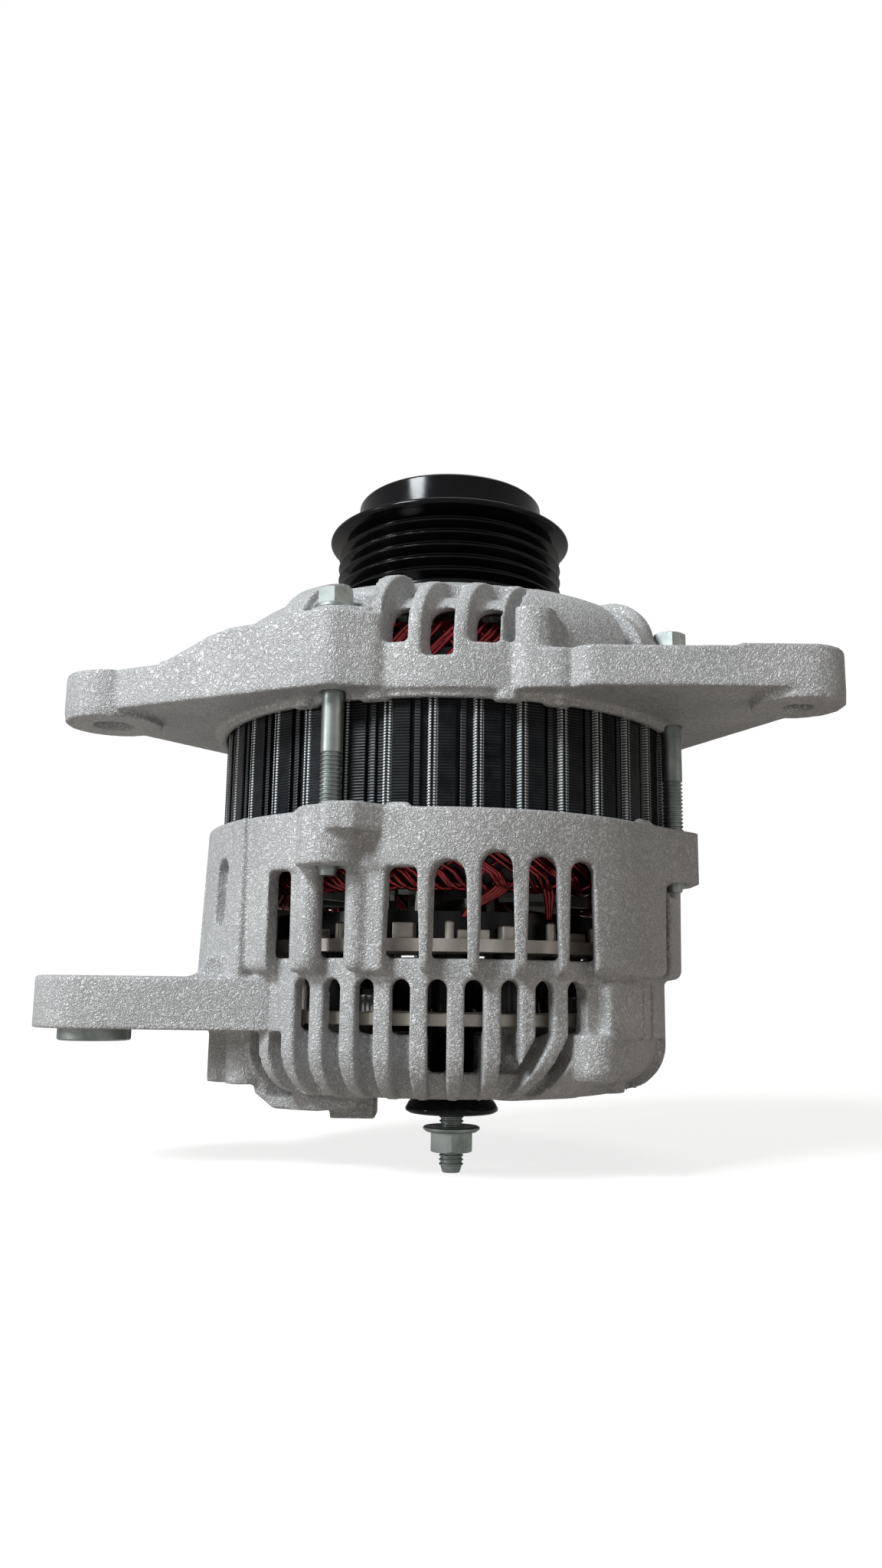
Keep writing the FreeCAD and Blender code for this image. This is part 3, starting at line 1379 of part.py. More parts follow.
def handle_rib():
    """The thick rib beside the right bolt, which curves down like a handle."""
    radius, height = HANDLE_CENTRE
    back = radius - HANDLE_RADIUS
    out = HANDLE_RADIUS * math.sqrt(0.5)
    side = outline(
        [(radius + HANDLE_RADIUS, HANDLE_FOOT), (radius + HANDLE_RADIUS, height),
         (radius + out, height + out, radius, height + HANDLE_RADIUS),
         (back, height + HANDLE_RADIUS), (back, HANDLE_FOOT)],
        lambda run, z: Vector(-HANDLE_WIDTH / 2, -run, z))
    rib = side.extrude(Vector(HANDLE_WIDTH, 0, 0))
    edges = [edge for edge in rib.Edges if edge.Curve.TypeId == "Part::GeomCircle"]
    return turned(rib.makeFillet(HANDLE_WIDTH / 3, edges), HANDLE_AZIMUTH)


def front_cavity():
    """The space inside the front bracket, out to its wall."""
    inner = CAVITY_RADIUS - DOME_CENTRE_RADIUS
    return revolved([
        (0, SEAT_RIM_BOTTOM - RIM_TAB_DROP),
        (CORE_RADIUS + HAND_GAP, SEAT_RIM_BOTTOM - RIM_TAB_DROP),
        (CORE_RADIUS + HAND_GAP, CORE_FRONT),
        (CAVITY_RADIUS, CORE_FRONT),
        (CAVITY_RADIUS, DOME_CENTRE_HEIGHT),
        dome_point(inner, MIDWAY) + dome_point(inner, 90),
        (0, dome_point(inner, 90)[1]),
    ])


def front_holes():
    """The bolt, screw, intake and mounting holes of the front bracket."""
    holes = []
    for azimuth in bolt_azimuths():
        spot = polar(BOLT_CIRCLE, azimuth)
        holes.append(rod(BOLT_HOLE_RADIUS, SEAT_RIM_BOTTOM, BOLT_SEAT, spot.x, spot.y))
        holes.append(rod(SPOT_FACE_RADIUS, BOLT_SEAT, PLATE_TOP, spot.x, spot.y))
    holes.append(bolt_shelf(BOLT_SEAT, PLATE_TOP))
    for i in range(INTAKE_COUNT):
        holes.append(upright_slot(
            INTAKE_WIDTH, INTAKE_INNER_RADIUS, INTAKE_OUTER_RADIUS,
            DOME_CENTRE_HEIGHT, PLATE_TOP, (i + 0.5) * 360 / INTAKE_COUNT))
    for spot in retainer_screw_spots():
        low = bearing_rear()
        high = low + RETAINER_SCREW_LENGTH - RETAINER_THICKNESS + HAND_GAP
        holes.append(rod(RETAINER_SCREW_RADIUS + SEAT_FIT, low, high, spot.x, spot.y))
    holes.append(rod(PIVOT_HOLE_RADIUS, PIVOT_BOSS_FACE, PIVOT_EAR_TOP, PIVOT_X, PIVOT_Y))
    holes.append(rod(
        ADJUSTER_HOLE_RADIUS, ADJUSTER_BOSS_FACE, ADJUSTER_PAD_TOP, ADJUSTER_X, ADJUSTER_Y))
    return holes


def bolt_shelf(low, high):
    """A prism on the shelf that runs from the near left bolt to the first arched rib."""
    boss = polar(BOLT_CIRCLE, FIRST_BOLT_AZIMUTH)
    return hull_of_circles([(boss.x, boss.y, SPOT_FACE_RADIUS), SHELF_END], low, high)


def bolt_boss(azimuth):
    """The boss under a bolt's head, with a sloping shoulder round the seat."""
    spot = polar(BOLT_CIRCLE, azimuth)
    shoulder = BOLT_SEAT - BOLT_BOSS_CHAMFER
    cone = Part.makeCone(
        BOLT_BOSS_RADIUS, SPOT_FACE_RADIUS, BOLT_BOSS_CHAMFER, Vector(spot.x, spot.y, shoulder))
    return rod(BOLT_BOSS_RADIUS, BAND_BOTTOM, shoulder, spot.x, spot.y).fuse(cone)


def front_bracket():
    """The front casting, with its ears, vents, bosses and bearing seat."""
    outside = pivot_ear() + adjuster_ear() + [bolt_shelf(BAND_BOTTOM, BOLT_SEAT)]
    boss = polar(BOLT_CIRCLE, FIRST_BOLT_AZIMUTH)
    outside.append(hull_of_circles(
        [(boss.x, boss.y, BOLT_BOSS_RADIUS), SHELF_FOOT], BAND_BOTTOM,
        BOLT_SEAT - BOLT_BOSS_CHAMFER))
    outside += [handle_rib()] + [arch_rib(*arch) for arch in ARCHES]
    outside += [bolt_boss(azimuth) for azimuth in bolt_azimuths()]
    x, y, radius = PILLAR
    outside.append(rod(radius, BAND_BOTTOM, PILLAR_TOP, x, y))
    outside.append(hull_of_circles([PILLAR, PILLAR_FOOT], BAND_BOTTOM, ADJUSTER_EAR_TOP))
    for azimuth in RIM_TAB_AZIMUTHS:
        spot = polar(RIM_TAB_CIRCLE, azimuth)
        low = SEAT_RIM_BOTTOM - RIM_TAB_DROP
        outside.append(rod(RIM_TAB_RADIUS, low, BAND_BOTTOM, spot.x, spot.y))
    outside = joined(outside).cut(front_cavity())
    body = front_shell().fuse(outside)
    return body.cut(vent_cutters() + front_holes()).removeSplitter()


def lower_bend():
    """The centre radius and the radius of the grille floor's bend."""
    rise = REAR_CORNER
    run = GRILLE_POCKET_RADIUS - GRILLE_END_RADIUS
    bend = (run ** 2 + rise ** 2) / (2 * run)
    return GRILLE_POCKET_RADIUS - bend, bend


def bend_point(shrink, angle):
    """A point of the lower bend, at an angle below the horizontal."""
    centre, bend = lower_bend()
    turn = math.radians(angle)
    radius = bend - shrink
    return centre + radius * math.cos(turn), REAR_FACE + REAR_CORNER - radius * math.sin(turn)


def rear_inside(gap):
    """The inner profile of the rear bracket, from its end plate up to the rim."""
    floor = inner_plate_face() + gap
    centre, bend = lower_bend()
    drop = REAR_FACE + REAR_CORNER - floor
    inner = bend - drop
    wall = REAR_BARREL_RADIUS - REAR_BARREL_WALL - gap
    lower = REAR_LOWER_RADIUS - REAR_LOWER_WALL - gap
    seat = CORE_RADIUS + HAND_GAP - gap
    return [
        (centre, floor),
        bend_point(inner, MIDWAY) + bend_point(inner, 0),
        (centre + drop, LOWER_STEP - LOWER_WALL_SLOPE),
        (lower, LOWER_STEP),
        (lower, REAR_LEDGE_HEIGHT - 1.0),
        (wall, REAR_LEDGE_HEIGHT),
        (wall, CORE_REAR),
        (seat, CORE_REAR),
        (seat, REAR_RIM_TOP),
    ]


def rear_shell():
    """The rear bracket's turned shape: barrel, ledge, lower wall, plate and hub."""
    seat = REAR_BEARING_RADIUS + SEAT_FIT
    relief = REAR_JOURNAL_RADIUS + REAR_RACE_WALL
    diagonal = REAR_CORNER * (1 - math.sqrt(0.5))
    edge = REAR_BARREL_ROUND * (1 - math.sqrt(0.5))
    outside = [
        (0, REAR_FACE),
        (REAR_LOWER_RADIUS - REAR_CORNER, REAR_FACE),
        (REAR_LOWER_RADIUS - diagonal, REAR_FACE + diagonal,
         REAR_LOWER_RADIUS, REAR_FACE + REAR_CORNER),
        (REAR_LOWER_RADIUS, REAR_LOWER_TOP),
        (REAR_BARREL_RADIUS - REAR_BARREL_ROUND, REAR_BARREL_BOTTOM),
        (REAR_BARREL_RADIUS - edge, REAR_BARREL_BOTTOM + edge,
         REAR_BARREL_RADIUS, REAR_BARREL_BOTTOM + REAR_BARREL_ROUND),
        (REAR_BARREL_TOP_RADIUS, REAR_RIM_TOP),
    ]
    hub = [
        (relief, REAR_BEARING_REAR - 1.0),
        (relief, REAR_BEARING_REAR),
        (seat, REAR_BEARING_REAR),
        (seat, REAR_BOSS_TOP),
        (REAR_BOSS_RADIUS, REAR_BOSS_TOP),
        (REAR_BOSS_RADIUS, inner_plate_face()),
    ]
    inside = rear_inside(0.0)
    solid = revolved(outside + [(0, REAR_RIM_TOP)])
    hollow = revolved([(0, REAR_BEARING_REAR - 1.0)] + hub + inside + [(0, REAR_RIM_TOP)])
    return solid.cut(hollow)


def upper_opening(first, last, pull, top, arched):
    """The cutters for an opening of the barrel: a window that widens downwards, and a
    recess below it, so that the fins on both sides end in toes over the lower wall."""
    radius = REAR_BARREL_RADIUS
    left = across(radius, first, pull)
    right = across(radius, last, pull)
    middle = (left + right) / 2
    face = math.sqrt(radius ** 2 - middle ** 2)
    low = REAR_LOWER_TOP - 2.0
    shoulder = top - (right - left) / 2 if arched else top
    crown = (middle, top, left, shoulder) if arched else (left, shoulder)
    wide_left, wide_right = left - WINDOW_SPREAD, right + WINDOW_SPREAD
    window = outline(
        [(wide_right, WINDOW_BOTTOM), (right, shoulder), crown, (wide_left, WINDOW_BOTTOM)],
        lambda x, height: Vector(x, WINDOW_REACH - face, height))
    window = window.extrude(Vector(0, -2 * WINDOW_REACH, 0))
    recess = block(
        wide_left, wide_right, -face - WINDOW_REACH, WINDOW_REACH - face, low, WINDOW_BOTTOM)
    recess = recess.cut(rod(REAR_LOWER_RADIUS, low, WINDOW_BOTTOM))
    return [turned(window, pull), turned(recess, pull)]


def upper_windows():
    """The cutters for the tall openings of the barrel."""
    cutters = []
    for first, last, pull in SQUARE_OPENINGS:
        cutters += upper_opening(first, last, pull, REAR_BOLT_BOSS_BOTTOM, False)
    first, last, pull = SLIT_OPENING
    cutters += upper_opening(first, last, pull, REAR_BOLT_BOSS_BOTTOM, False)
    for first, last, pull, top in ARCHED_OPENINGS:
        cutters += upper_opening(first, last, pull, top, True)
    top = ARCHED_OPENINGS[-1][-1]
    for first in pattern(BACK_OPENINGS, WINDOW_PITCH):
        pull = first + BACK_OPENING_SPAN / 2
        cutters += upper_opening(first, first + BACK_OPENING_SPAN, pull, top, True)
    return cutters


def grille_skin():
    """The outer skin of the lower wall and its bend, which the grille's pockets remove."""
    return revolved([
        (REAR_LOWER_RADIUS + 2.0, REAR_FACE - 1.0),
        (REAR_LOWER_RADIUS + 2.0, GRILLE_BOTTOM),
        (GRILLE_POCKET_RADIUS, GRILLE_BOTTOM),
        (GRILLE_POCKET_RADIUS, REAR_FACE + REAR_CORNER),
        bend_point(0.0, BEND_MIDDLE) + bend_point(0.0, BEND_END),
        (GRILLE_END_RADIUS, REAR_FACE - 1.0),
    ])


def grille_azimuth(i):
    """The azimuth of a slot of the front grille, counted from the first."""
    return GRILLE_FIRST + i * GRILLE_PITCH


def bent_lane(low, azimuth, near, far):
    """A lane that leans to the left as it goes down, for the bent fins on the right."""
    half = GRILLE_GAP / 2
    lean = BENT_SHIFT * (GRILLE_BOTTOM - low) / (GRILLE_BOTTOM - REAR_FACE)
    top = GRILLE_BOTTOM + GRILLE_LAP
    face = outline(
        [(half - lean, low), (half, GRILLE_BOTTOM), (half, top),
         (-half, top), (-half, GRILLE_BOTTOM), (-half - lean, low)],
        lambda x, height: Vector(x, -near, height))
    return turned(face.extrude(Vector(0, near - far, 0)), azimuth)


def grille_cutters():
    """The lower grille: an open slot above, and a pocket between fins below it."""
    skin = grille_skin()
    near = GRILLE_POCKET_RADIUS - OVERCUT
    deep = near - OVERCUT
    far = REAR_LOWER_RADIUS + 2.0
    pockets = range(GRILLE_POCKETS[0], GRILLE_POCKETS[1] + 1)
    cutters = []
    for i in range(GRILLE_SLOTS[0], GRILLE_SLOTS[1] + 1):
        is_open = OPEN_GRILLE[0] <= i <= OPEN_GRILLE[1]
        low = OPEN_GRILLE_BOTTOM if is_open else GRILLE_BOTTOM
        cutters.append(radial_slot(GRILLE_GAP, low, GRILLE_TOP, near, far, grille_azimuth(i)))
    back = pattern(GRILLE_BACK, GRILLE_PITCH)
    for azimuth in back:
        cutters.append(radial_slot(GRILLE_GAP, GRILLE_BOTTOM, GRILLE_TOP, near, far, azimuth))
    for azimuth in [grille_azimuth(i) for i in pockets] + back:
        lane = radial_slot(
            GRILLE_GAP, REAR_FACE - 1.0, GRILLE_BOTTOM + GRILLE_LAP, deep, far, azimuth, False)
        cutters.append(skin.common(lane))
    for i in range(BENT_GRILLE[0], BENT_GRILLE[1] + 1):
        azimuth = grille_azimuth(i)
        lane = bent_lane(REAR_FACE, azimuth, deep, far)
        cutters.append(skin.common(lane))
        cutters.append(bent_lane(OPEN_GRILLE_BOTTOM, azimuth, near, far))
    return cutters


def corner_recess():
    """The shallow recess round the right rear corner, below the solid block."""
    depth = CORNER_RECESS_DEPTH
    round_out = REAR_CORNER - depth
    centre = REAR_LOWER_RADIUS - REAR_CORNER
    diagonal = round_out * math.sqrt(0.5)
    far = REAR_LOWER_RADIUS + 2.0
    skin = revolved([
        (far, REAR_FACE - 1.0),
        (far, CORNER_BLOCK_BOTTOM),
        (centre + round_out, CORNER_BLOCK_BOTTOM),
        (centre + round_out, REAR_FACE + REAR_CORNER),
        (centre + diagonal, REAR_FACE + REAR_CORNER - diagonal,
         centre, REAR_FACE + REAR_CORNER - round_out),
        (centre, REAR_FACE - 1.0),
    ])
    first, last = CORNER_RECESS_AZIMUTHS
    return skin.common(sector(centre - 2.0, far, REAR_FACE - 1.0, CORNER_BLOCK_BOTTOM, first, last))


def rear_lug():
    """The rear lug, with a cove where it runs into the barrel."""
    lug = hull_of_circles(
        [(PIVOT_X, PIVOT_Y, LUG_RADIUS), (LUG_ROOT_X, PIVOT_Y, LUG_RADIUS)],
        LUG_BOTTOM, LUG_TOP)
    wall_x = -math.sqrt(REAR_BARREL_TOP_RADIUS ** 2 - PIVOT_Y ** 2) + 2.0
    low = PIVOT_Y - LUG_RADIUS + 3.0
    high = PIVOT_Y + LUG_RADIUS - 3.0
    cove = block(wall_x - LUG_COVE - 2.0, LUG_ROOT_X, low, high, LUG_TOP, LUG_TOP + LUG_COVE)
    scoop = Part.makeCylinder(
        LUG_COVE, 2 * LUG_RADIUS,
        Vector(wall_x - LUG_COVE - 2.0, PIVOT_Y - LUG_RADIUS, LUG_TOP + LUG_COVE), Vector(0, 1, 0))
    return [lug, cove.cut(scoop)]


def barrel_bosses():
    """The bolt bosses, the block beside the left one, and the bumps on the rim."""
    near_right = FIRST_BOLT_AZIMUTH + 360 / BOLT_COUNT
    shapes = [prism(RIGHT_BOSS, REAR_BOLT_BOSS_BOTTOM, REAR_RIM_TOP)]
    for azimuth in bolt_azimuths():
        spot = polar(BOLT_CIRCLE, azimuth)
        if azimuth != near_right:
            shapes.append(rod(
                REAR_BOLT_BOSS_RADIUS, REAR_BOLT_BOSS_BOTTOM, REAR_RIM_TOP, spot.x, spot.y))
    seat = rod(CORE_RADIUS + HAND_GAP, CORE_REAR, RIM_BLOCK_TOP)
    shapes.append(prism(RIM_BLOCK, RIM_BLOCK_BOTTOM, RIM_BLOCK_TOP).cut(seat))
    for azimuth in RIM_BUMP_AZIMUTHS:
        shapes.append(radial_slot(
            RIM_BUMP_WIDTH, REAR_RIM_TOP - 1.0, RIM_BUMP_TOP, CORE_RADIUS + RIM_BUMP_INSET,
            REAR_BARREL_TOP_RADIUS - RIM_BUMP_INSET, azimuth, False))
    return shapes


def side_panel():
    """The left side's panel, which flares towards the lug, and the bead on its edge."""
    first, last = SIDE_PANEL_AZIMUTHS
    inner = CORE_RADIUS + 1.0
    slight, full = SIDE_PANEL_PROUD
    flare = revolved([
        (inner, REAR_BARREL_BOTTOM),
        (REAR_BARREL_TOP_RADIUS + full, REAR_BARREL_BOTTOM),
        (REAR_BARREL_TOP_RADIUS + slight, REAR_RIM_TOP),
        (inner, REAR_RIM_TOP),
    ])
    far = REAR_BARREL_TOP_RADIUS + 2 * full
    panel = flare.common(sector(inner, far, REAR_BARREL_BOTTOM, REAR_RIM_TOP, first, last))
    bead = sector(
        inner, REAR_BARREL_TOP_RADIUS + slight + BEAD_PROUD, REAR_BARREL_BOTTOM,
        REAR_RIM_TOP, *BEAD_AZIMUTHS)
    return [panel, bead]


def rear_bosses():
    """The solid bosses and columns that stand on the rear bracket's wall."""
    shapes = barrel_bosses() + side_panel()
    first, last = CORNER_BLOCK_AZIMUTHS
    shapes.append(sector(
        REAR_LOWER_RADIUS - REAR_LOWER_WALL, REAR_LOWER_RADIUS + CORNER_BLOCK_PROUD,
        CORNER_BLOCK_BOTTOM, REAR_LOWER_TOP, first, last))
    for x, y, radius in SIDE_BOSSES:
        shapes.append(rod(radius, REAR_FACE + 2.0, LUG_BOTTOM, x, y))
    back, front = max(REAR_PAD_DEPTH), min(REAR_PAD_DEPTH)
    pad = outline(
        [(x, REAR_FACE - drop) for x, drop in REAR_PAD_BOTTOM]
        + [(REAR_PAD_BOTTOM[-1][0], REAR_FACE + REAR_PLATE),
           (REAR_PAD_BOTTOM[0][0], REAR_FACE + REAR_PLATE)],
        lambda x, height: Vector(x, front, height))
    shapes.append(pad.extrude(Vector(0, back - front, 0)))
    x0, x1, y0, y1, low = REAR_POST
    shapes.append(block(x0, x1, y0, y1, low, REAR_FACE + REAR_PLATE))
    return shapes


def rear_hollow(gap):
    """The space inside the rear bracket, outside its bearing hub."""
    inside = rear_inside(gap)
    near = REAR_BOSS_RADIUS + gap
    return revolved([(near, inside[0][1])] + inside + [(near, REAR_RIM_TOP)])


def rear_holes():
    """The bolt, screw, stud, bush and plug openings of the rear bracket."""
    holes = []
    for azimuth in bolt_azimuths():
        spot = polar(BOLT_CIRCLE, azimuth)
        holes.append(rod(
            BOLT_HOLE_RADIUS, BOLT_END - 1.0, RIM_BLOCK_TOP, spot.x, spot.y))
    for spot in post_spots():
        holes.append(rod(SCREW_HOLE, REAR_FACE, NEGATIVE_PLATE_BOTTOM, spot.x, spot.y))
        holes.append(rod(
            SCREW_HEAD_RADIUS + HAND_GAP, REAR_FACE, sunk_face(), spot.x, spot.y))
    for spot in regulator_screw_spots():
        holes.append(rod(SCREW_HOLE, REAR_FACE, inner_plate_face(), spot.x, spot.y))
    holes.append(rod(
        INSULATOR_SLEEVE + SEAT_FIT, REAR_FACE, inner_plate_face(), STUD_X, STUD_Y))
    holes.append(rod(BUSH_RADIUS + SEAT_FIT, LUG_BOTTOM, LUG_TOP, PIVOT_X, PIVOT_Y))
    holes.append(rounded_bar(
        SOCKET_HALF_WIDTH + HAND_GAP, SOCKET_BOTTOM - HAND_GAP, SOCKET_TOP + HAND_GAP,
        socket_near(), SOCKET_END, SOCKET_CORNER + HAND_GAP))
    for azimuth in REAR_INTAKE_AZIMUTHS:
        holes.append(upright_slot(
            REAR_INTAKE_WIDTH, REAR_INTAKE_INNER, REAR_INTAKE_OUTER,
            REAR_FACE - 1.0, inner_plate_face(), azimuth))
    far = REAR_LOWER_RADIUS + 2.0
    near = REAR_LOWER_RADIUS - CORNER_RECESS_DEPTH
    for azimuth in SIDE_SLIT_AZIMUTHS:
        holes.append(radial_slot(
            SIDE_SLIT_WIDTH, SIDE_SLIT_BOTTOM, GRILLE_TOP, near, far, azimuth, True, True))
    return holes


def outer_posts():
    """The rounded columns of the barrel, and the boss on the right rear corner."""
    x, y, radius, low = CORNER_BOSS
    shapes = [ball_ended_post(radius, low, CORNER_BLOCK_BOTTOM + 1.0, x, y)]
    for azimuth, circle, radius in COLUMNS:
        spot = polar(circle, azimuth)
        shapes.append(ball_ended_post(
            radius, REAR_BARREL_BOTTOM, REAR_BOLT_BOSS_BOTTOM + 1.0, spot.x, spot.y))
    return shapes


def side_ovals():
    """The two shallow recesses with round ends in the left side's panel."""
    near = REAR_BARREL_TOP_RADIUS - OVAL_DEPTH
    far = REAR_BARREL_TOP_RADIUS + OVERCUT
    return [
        radial_slot(
            OVAL_WIDTH, OVAL_BOTTOM, OVAL_TOP, near, far, OVAL_AZIMUTH, True, True),
        radial_slot(
            THIN_OVAL_WIDTH, THIN_OVAL_BOTTOM, THIN_OVAL_TOP, near, far,
            THIN_OVAL_AZIMUTH, True, True),
    ]


def rear_bracket():
    """The rear casting, with its windows, finned grille, lug and bearing seat."""
    outside = joined(rear_bosses() + rear_lug()).cut(rear_hollow(0.0))
    setback = sector(
        REAR_BARREL_TOP_RADIUS - COLUMN_SETBACK, REAR_BARREL_TOP_RADIUS + 2.0,
        REAR_LOWER_TOP, REAR_BOLT_BOSS_BOTTOM, *COLUMN_AZIMUTHS)
    body = rear_shell().fuse(outside)
    for cutters in (upper_windows(), grille_cutters(), [corner_recess()], [setback]):
        body = body.cut(cutters)
    posts = [
        rod(POST_RADIUS, REAR_FACE, NEGATIVE_PLATE_BOTTOM, spot.x, spot.y)
        for spot in post_spots()]
    posts += [post.cut(rear_hollow(0.0)) for post in outer_posts()]
    for post in posts:
        body = body.fuse(post)
    return body.cut(rear_holes() + side_ovals())


def lug_bush():
    """The split steel bush in the rear lug, proud of its rear face."""
    low = LUG_BOTTOM - BUSH_PROUD
    ring = tube(BUSH_RADIUS, PIVOT_HOLE_RADIUS, low, LUG_TOP, PIVOT_X, PIVOT_Y)
    slit = block(
        PIVOT_X, PIVOT_X + 2 * BUSH_RADIUS, PIVOT_Y - BUSH_SLIT / 2, PIVOT_Y + BUSH_SLIT / 2,
        low, LUG_TOP)
    return ring.cut(slit)


PARTS = {
    "front_bracket": front_bracket,
    "rear_bracket": rear_bracket,
    "stator_core": stator_core,
    "slot_liners": slot_liners,
    "stator_winding": stator_winding,
    "winding_leads": winding_leads,
    "through_bolts": through_bolts,
    "front_bearing_outer_race": front_bearing_outer,
    "front_bearing_inner_race": front_bearing_inner,
    "front_bearing_balls": front_bearing_balls,
    "front_bearing_shields": front_bearing_shields,
    "bearing_retainer_plate": retainer_plate,
    "retainer_screws": retainer_screws,
    "rear_bearing_outer_race": rear_bearing_outer,
    "rear_bearing_inner_race": rear_bearing_inner,
    "rear_bearing_balls": rear_bearing_balls,
    "rear_bearing_shields": rear_bearing_shields,
    "rotor_shaft": rotor_shaft,
    "front_spacer": front_spacer,
    "pulley_spacer": pulley_spacer,
    "front_claw_pole": lambda: claw_pole(POLE_FRONT, POLE_REAR, 0.0),
    "rear_claw_pole": lambda: claw_pole(POLE_REAR, POLE_FRONT, 180 / POLE_COUNT),
    "coil_bobbin": coil_bobbin,
    "field_coil": field_coil,
    "front_fan": lambda: fan(POLE_FRONT, 1, FRONT_BLADE_COUNT, FRONT_BLADE_HEIGHT),
    "rear_fan": lambda: fan(POLE_REAR, -1, REAR_BLADE_COUNT, REAR_BLADE_HEIGHT),
    "slip_ring_sleeve": slip_ring_sleeve,
    "slip_rings": slip_rings,
    "clutch_hub": clutch_hub,
    "clutch_rollers": clutch_rollers,
    "clutch_cage": clutch_cage,
    "pulley_ring": pulley_ring,
    "clutch_sleeve": clutch_sleeve,
    "pulley_support_bearings": support_bearings,
    "pulley_dust_cap": pulley_cap,
    "rectifier_negative_plate": negative_plate,
    "rectifier_positive_plate": positive_plate,
    "negative_diodes": lambda: diodes(NEGATIVE_PLATE_BOTTOM, 1),
    "positive_diodes": lambda: diodes(POSITIVE_PLATE_TOP - DIODE_HEIGHT, -1),
    "rectifier_spacers": insulating_spacers,
    "terminal_block": terminal_block,
    "rectifier_screws": rectifier_screws,
    "output_stud": output_stud,
    "terminal_insulator": terminal_insulator,
    "terminal_nut": terminal_nut,
    "brush_holder": brush_holder,
    "upper_brush": lambda: brush(UPPER_RING_CENTRE),
    "lower_brush": lambda: brush(LOWER_RING_CENTRE),
    "upper_brush_spring": lambda: brush_spring(UPPER_RING_CENTRE),
    "lower_brush_spring": lambda: brush_spring(LOWER_RING_CENTRE),
    "regulator_body": regulator_body,
    "regulator_heat_sink": regulator_heat_sink,
    "regulator_screws": regulator_screws,
    "plug_socket": plug_socket,
    "socket_pins": socket_pins,
    "rear_lug_bush": lug_bush,
}

os.makedirs("parts", exist_ok=True)
for name, make in PARTS.items():
    shape = make()
    shape.exportStep(os.path.join("parts", name + ".step"))
    print(name, len(shape.Solids), shape.isValid(), round(shape.Volume, 1))
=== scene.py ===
# %% [markdown]
# An alternator, dressed for its photograph. The CAD model is loaded as a fixed frame in
# metres, with the rotor's axis along Z and the camera on the -Y side. Everything below
# either gives a CAD node a better material or adds a detailed piece in the node's place.
# The shapes are written in millimetres, and an azimuth is in degrees about the rotor's
# axis, from 0 at the camera towards the photograph's right.
# %% Load the frame
import json
import math
import random
import bmesh
import bpy
from mathutils import Matrix, Vector

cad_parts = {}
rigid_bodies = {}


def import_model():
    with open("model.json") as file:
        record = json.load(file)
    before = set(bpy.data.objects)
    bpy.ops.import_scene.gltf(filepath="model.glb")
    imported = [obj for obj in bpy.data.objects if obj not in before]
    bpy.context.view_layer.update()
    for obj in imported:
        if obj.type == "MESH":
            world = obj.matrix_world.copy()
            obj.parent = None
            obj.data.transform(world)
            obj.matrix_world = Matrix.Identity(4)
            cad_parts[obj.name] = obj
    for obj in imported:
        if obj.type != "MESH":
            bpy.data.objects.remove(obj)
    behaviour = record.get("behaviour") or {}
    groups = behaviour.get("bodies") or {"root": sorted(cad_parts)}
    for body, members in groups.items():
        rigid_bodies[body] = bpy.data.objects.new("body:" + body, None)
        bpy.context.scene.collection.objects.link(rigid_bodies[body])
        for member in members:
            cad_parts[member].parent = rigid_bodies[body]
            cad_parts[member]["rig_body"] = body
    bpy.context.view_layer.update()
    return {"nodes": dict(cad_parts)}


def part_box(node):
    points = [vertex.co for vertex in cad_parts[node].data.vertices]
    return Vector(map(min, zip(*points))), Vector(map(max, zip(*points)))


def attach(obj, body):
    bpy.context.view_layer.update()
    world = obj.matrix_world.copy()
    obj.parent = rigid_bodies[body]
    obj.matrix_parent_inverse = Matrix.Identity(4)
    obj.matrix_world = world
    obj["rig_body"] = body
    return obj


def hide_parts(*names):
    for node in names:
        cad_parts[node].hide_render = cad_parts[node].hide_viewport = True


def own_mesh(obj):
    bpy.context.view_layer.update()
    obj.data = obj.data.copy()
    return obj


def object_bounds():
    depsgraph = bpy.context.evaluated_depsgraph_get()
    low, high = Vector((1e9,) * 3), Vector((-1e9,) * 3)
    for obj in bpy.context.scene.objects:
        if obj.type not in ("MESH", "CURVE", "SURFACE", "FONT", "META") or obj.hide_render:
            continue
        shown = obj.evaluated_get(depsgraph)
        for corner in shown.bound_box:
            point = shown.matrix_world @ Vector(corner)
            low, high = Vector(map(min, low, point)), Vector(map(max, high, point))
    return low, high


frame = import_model()
nodes = frame["nodes"]
scene = bpy.context.scene
scene.view_settings.view_transform = "Standard"

# %% [markdown]
# The camera stands 323 mm in front of the rotor's axis and looks up by about ten degrees,
# so that the flat underside of each ear shows. The sensor's long side is the image's
# height, and the focal length is what makes the widths and heights agree.
# %% Camera
PHOTO_HEIGHT, FOCAL_PIXELS, SENSOR = 2048, 1499.3812, 36.0
CAMERA_PLACE = (-0.0016328, -0.3230985, -0.119)
LOOKS_UP, LEANS = 0.182, 0.0131

camera_data = bpy.data.cameras.new("camera")
camera_data.sensor_width = SENSOR
camera_data.lens = SENSOR * FOCAL_PIXELS / PHOTO_HEIGHT
camera_data.clip_start = 0.01
camera = bpy.data.objects.new("camera", camera_data)
scene.collection.objects.link(camera)
pitch = Matrix.Rotation(math.pi / 2 + LOOKS_UP, 4, "X")
roll = Matrix.Rotation(LEANS, 4, "Z")
camera.matrix_world = Matrix.Translation(CAMERA_PLACE) @ pitch @ roll
scene.camera = camera
print("camera lens", round(camera_data.lens, 3), "mm")

# %% [markdown]
# Shader graphs get long, so small helpers place nodes and join them. Each call names the
# node's type, sets its properties, and wires its inputs from values or other sockets.
# %% Helpers for shader nodes


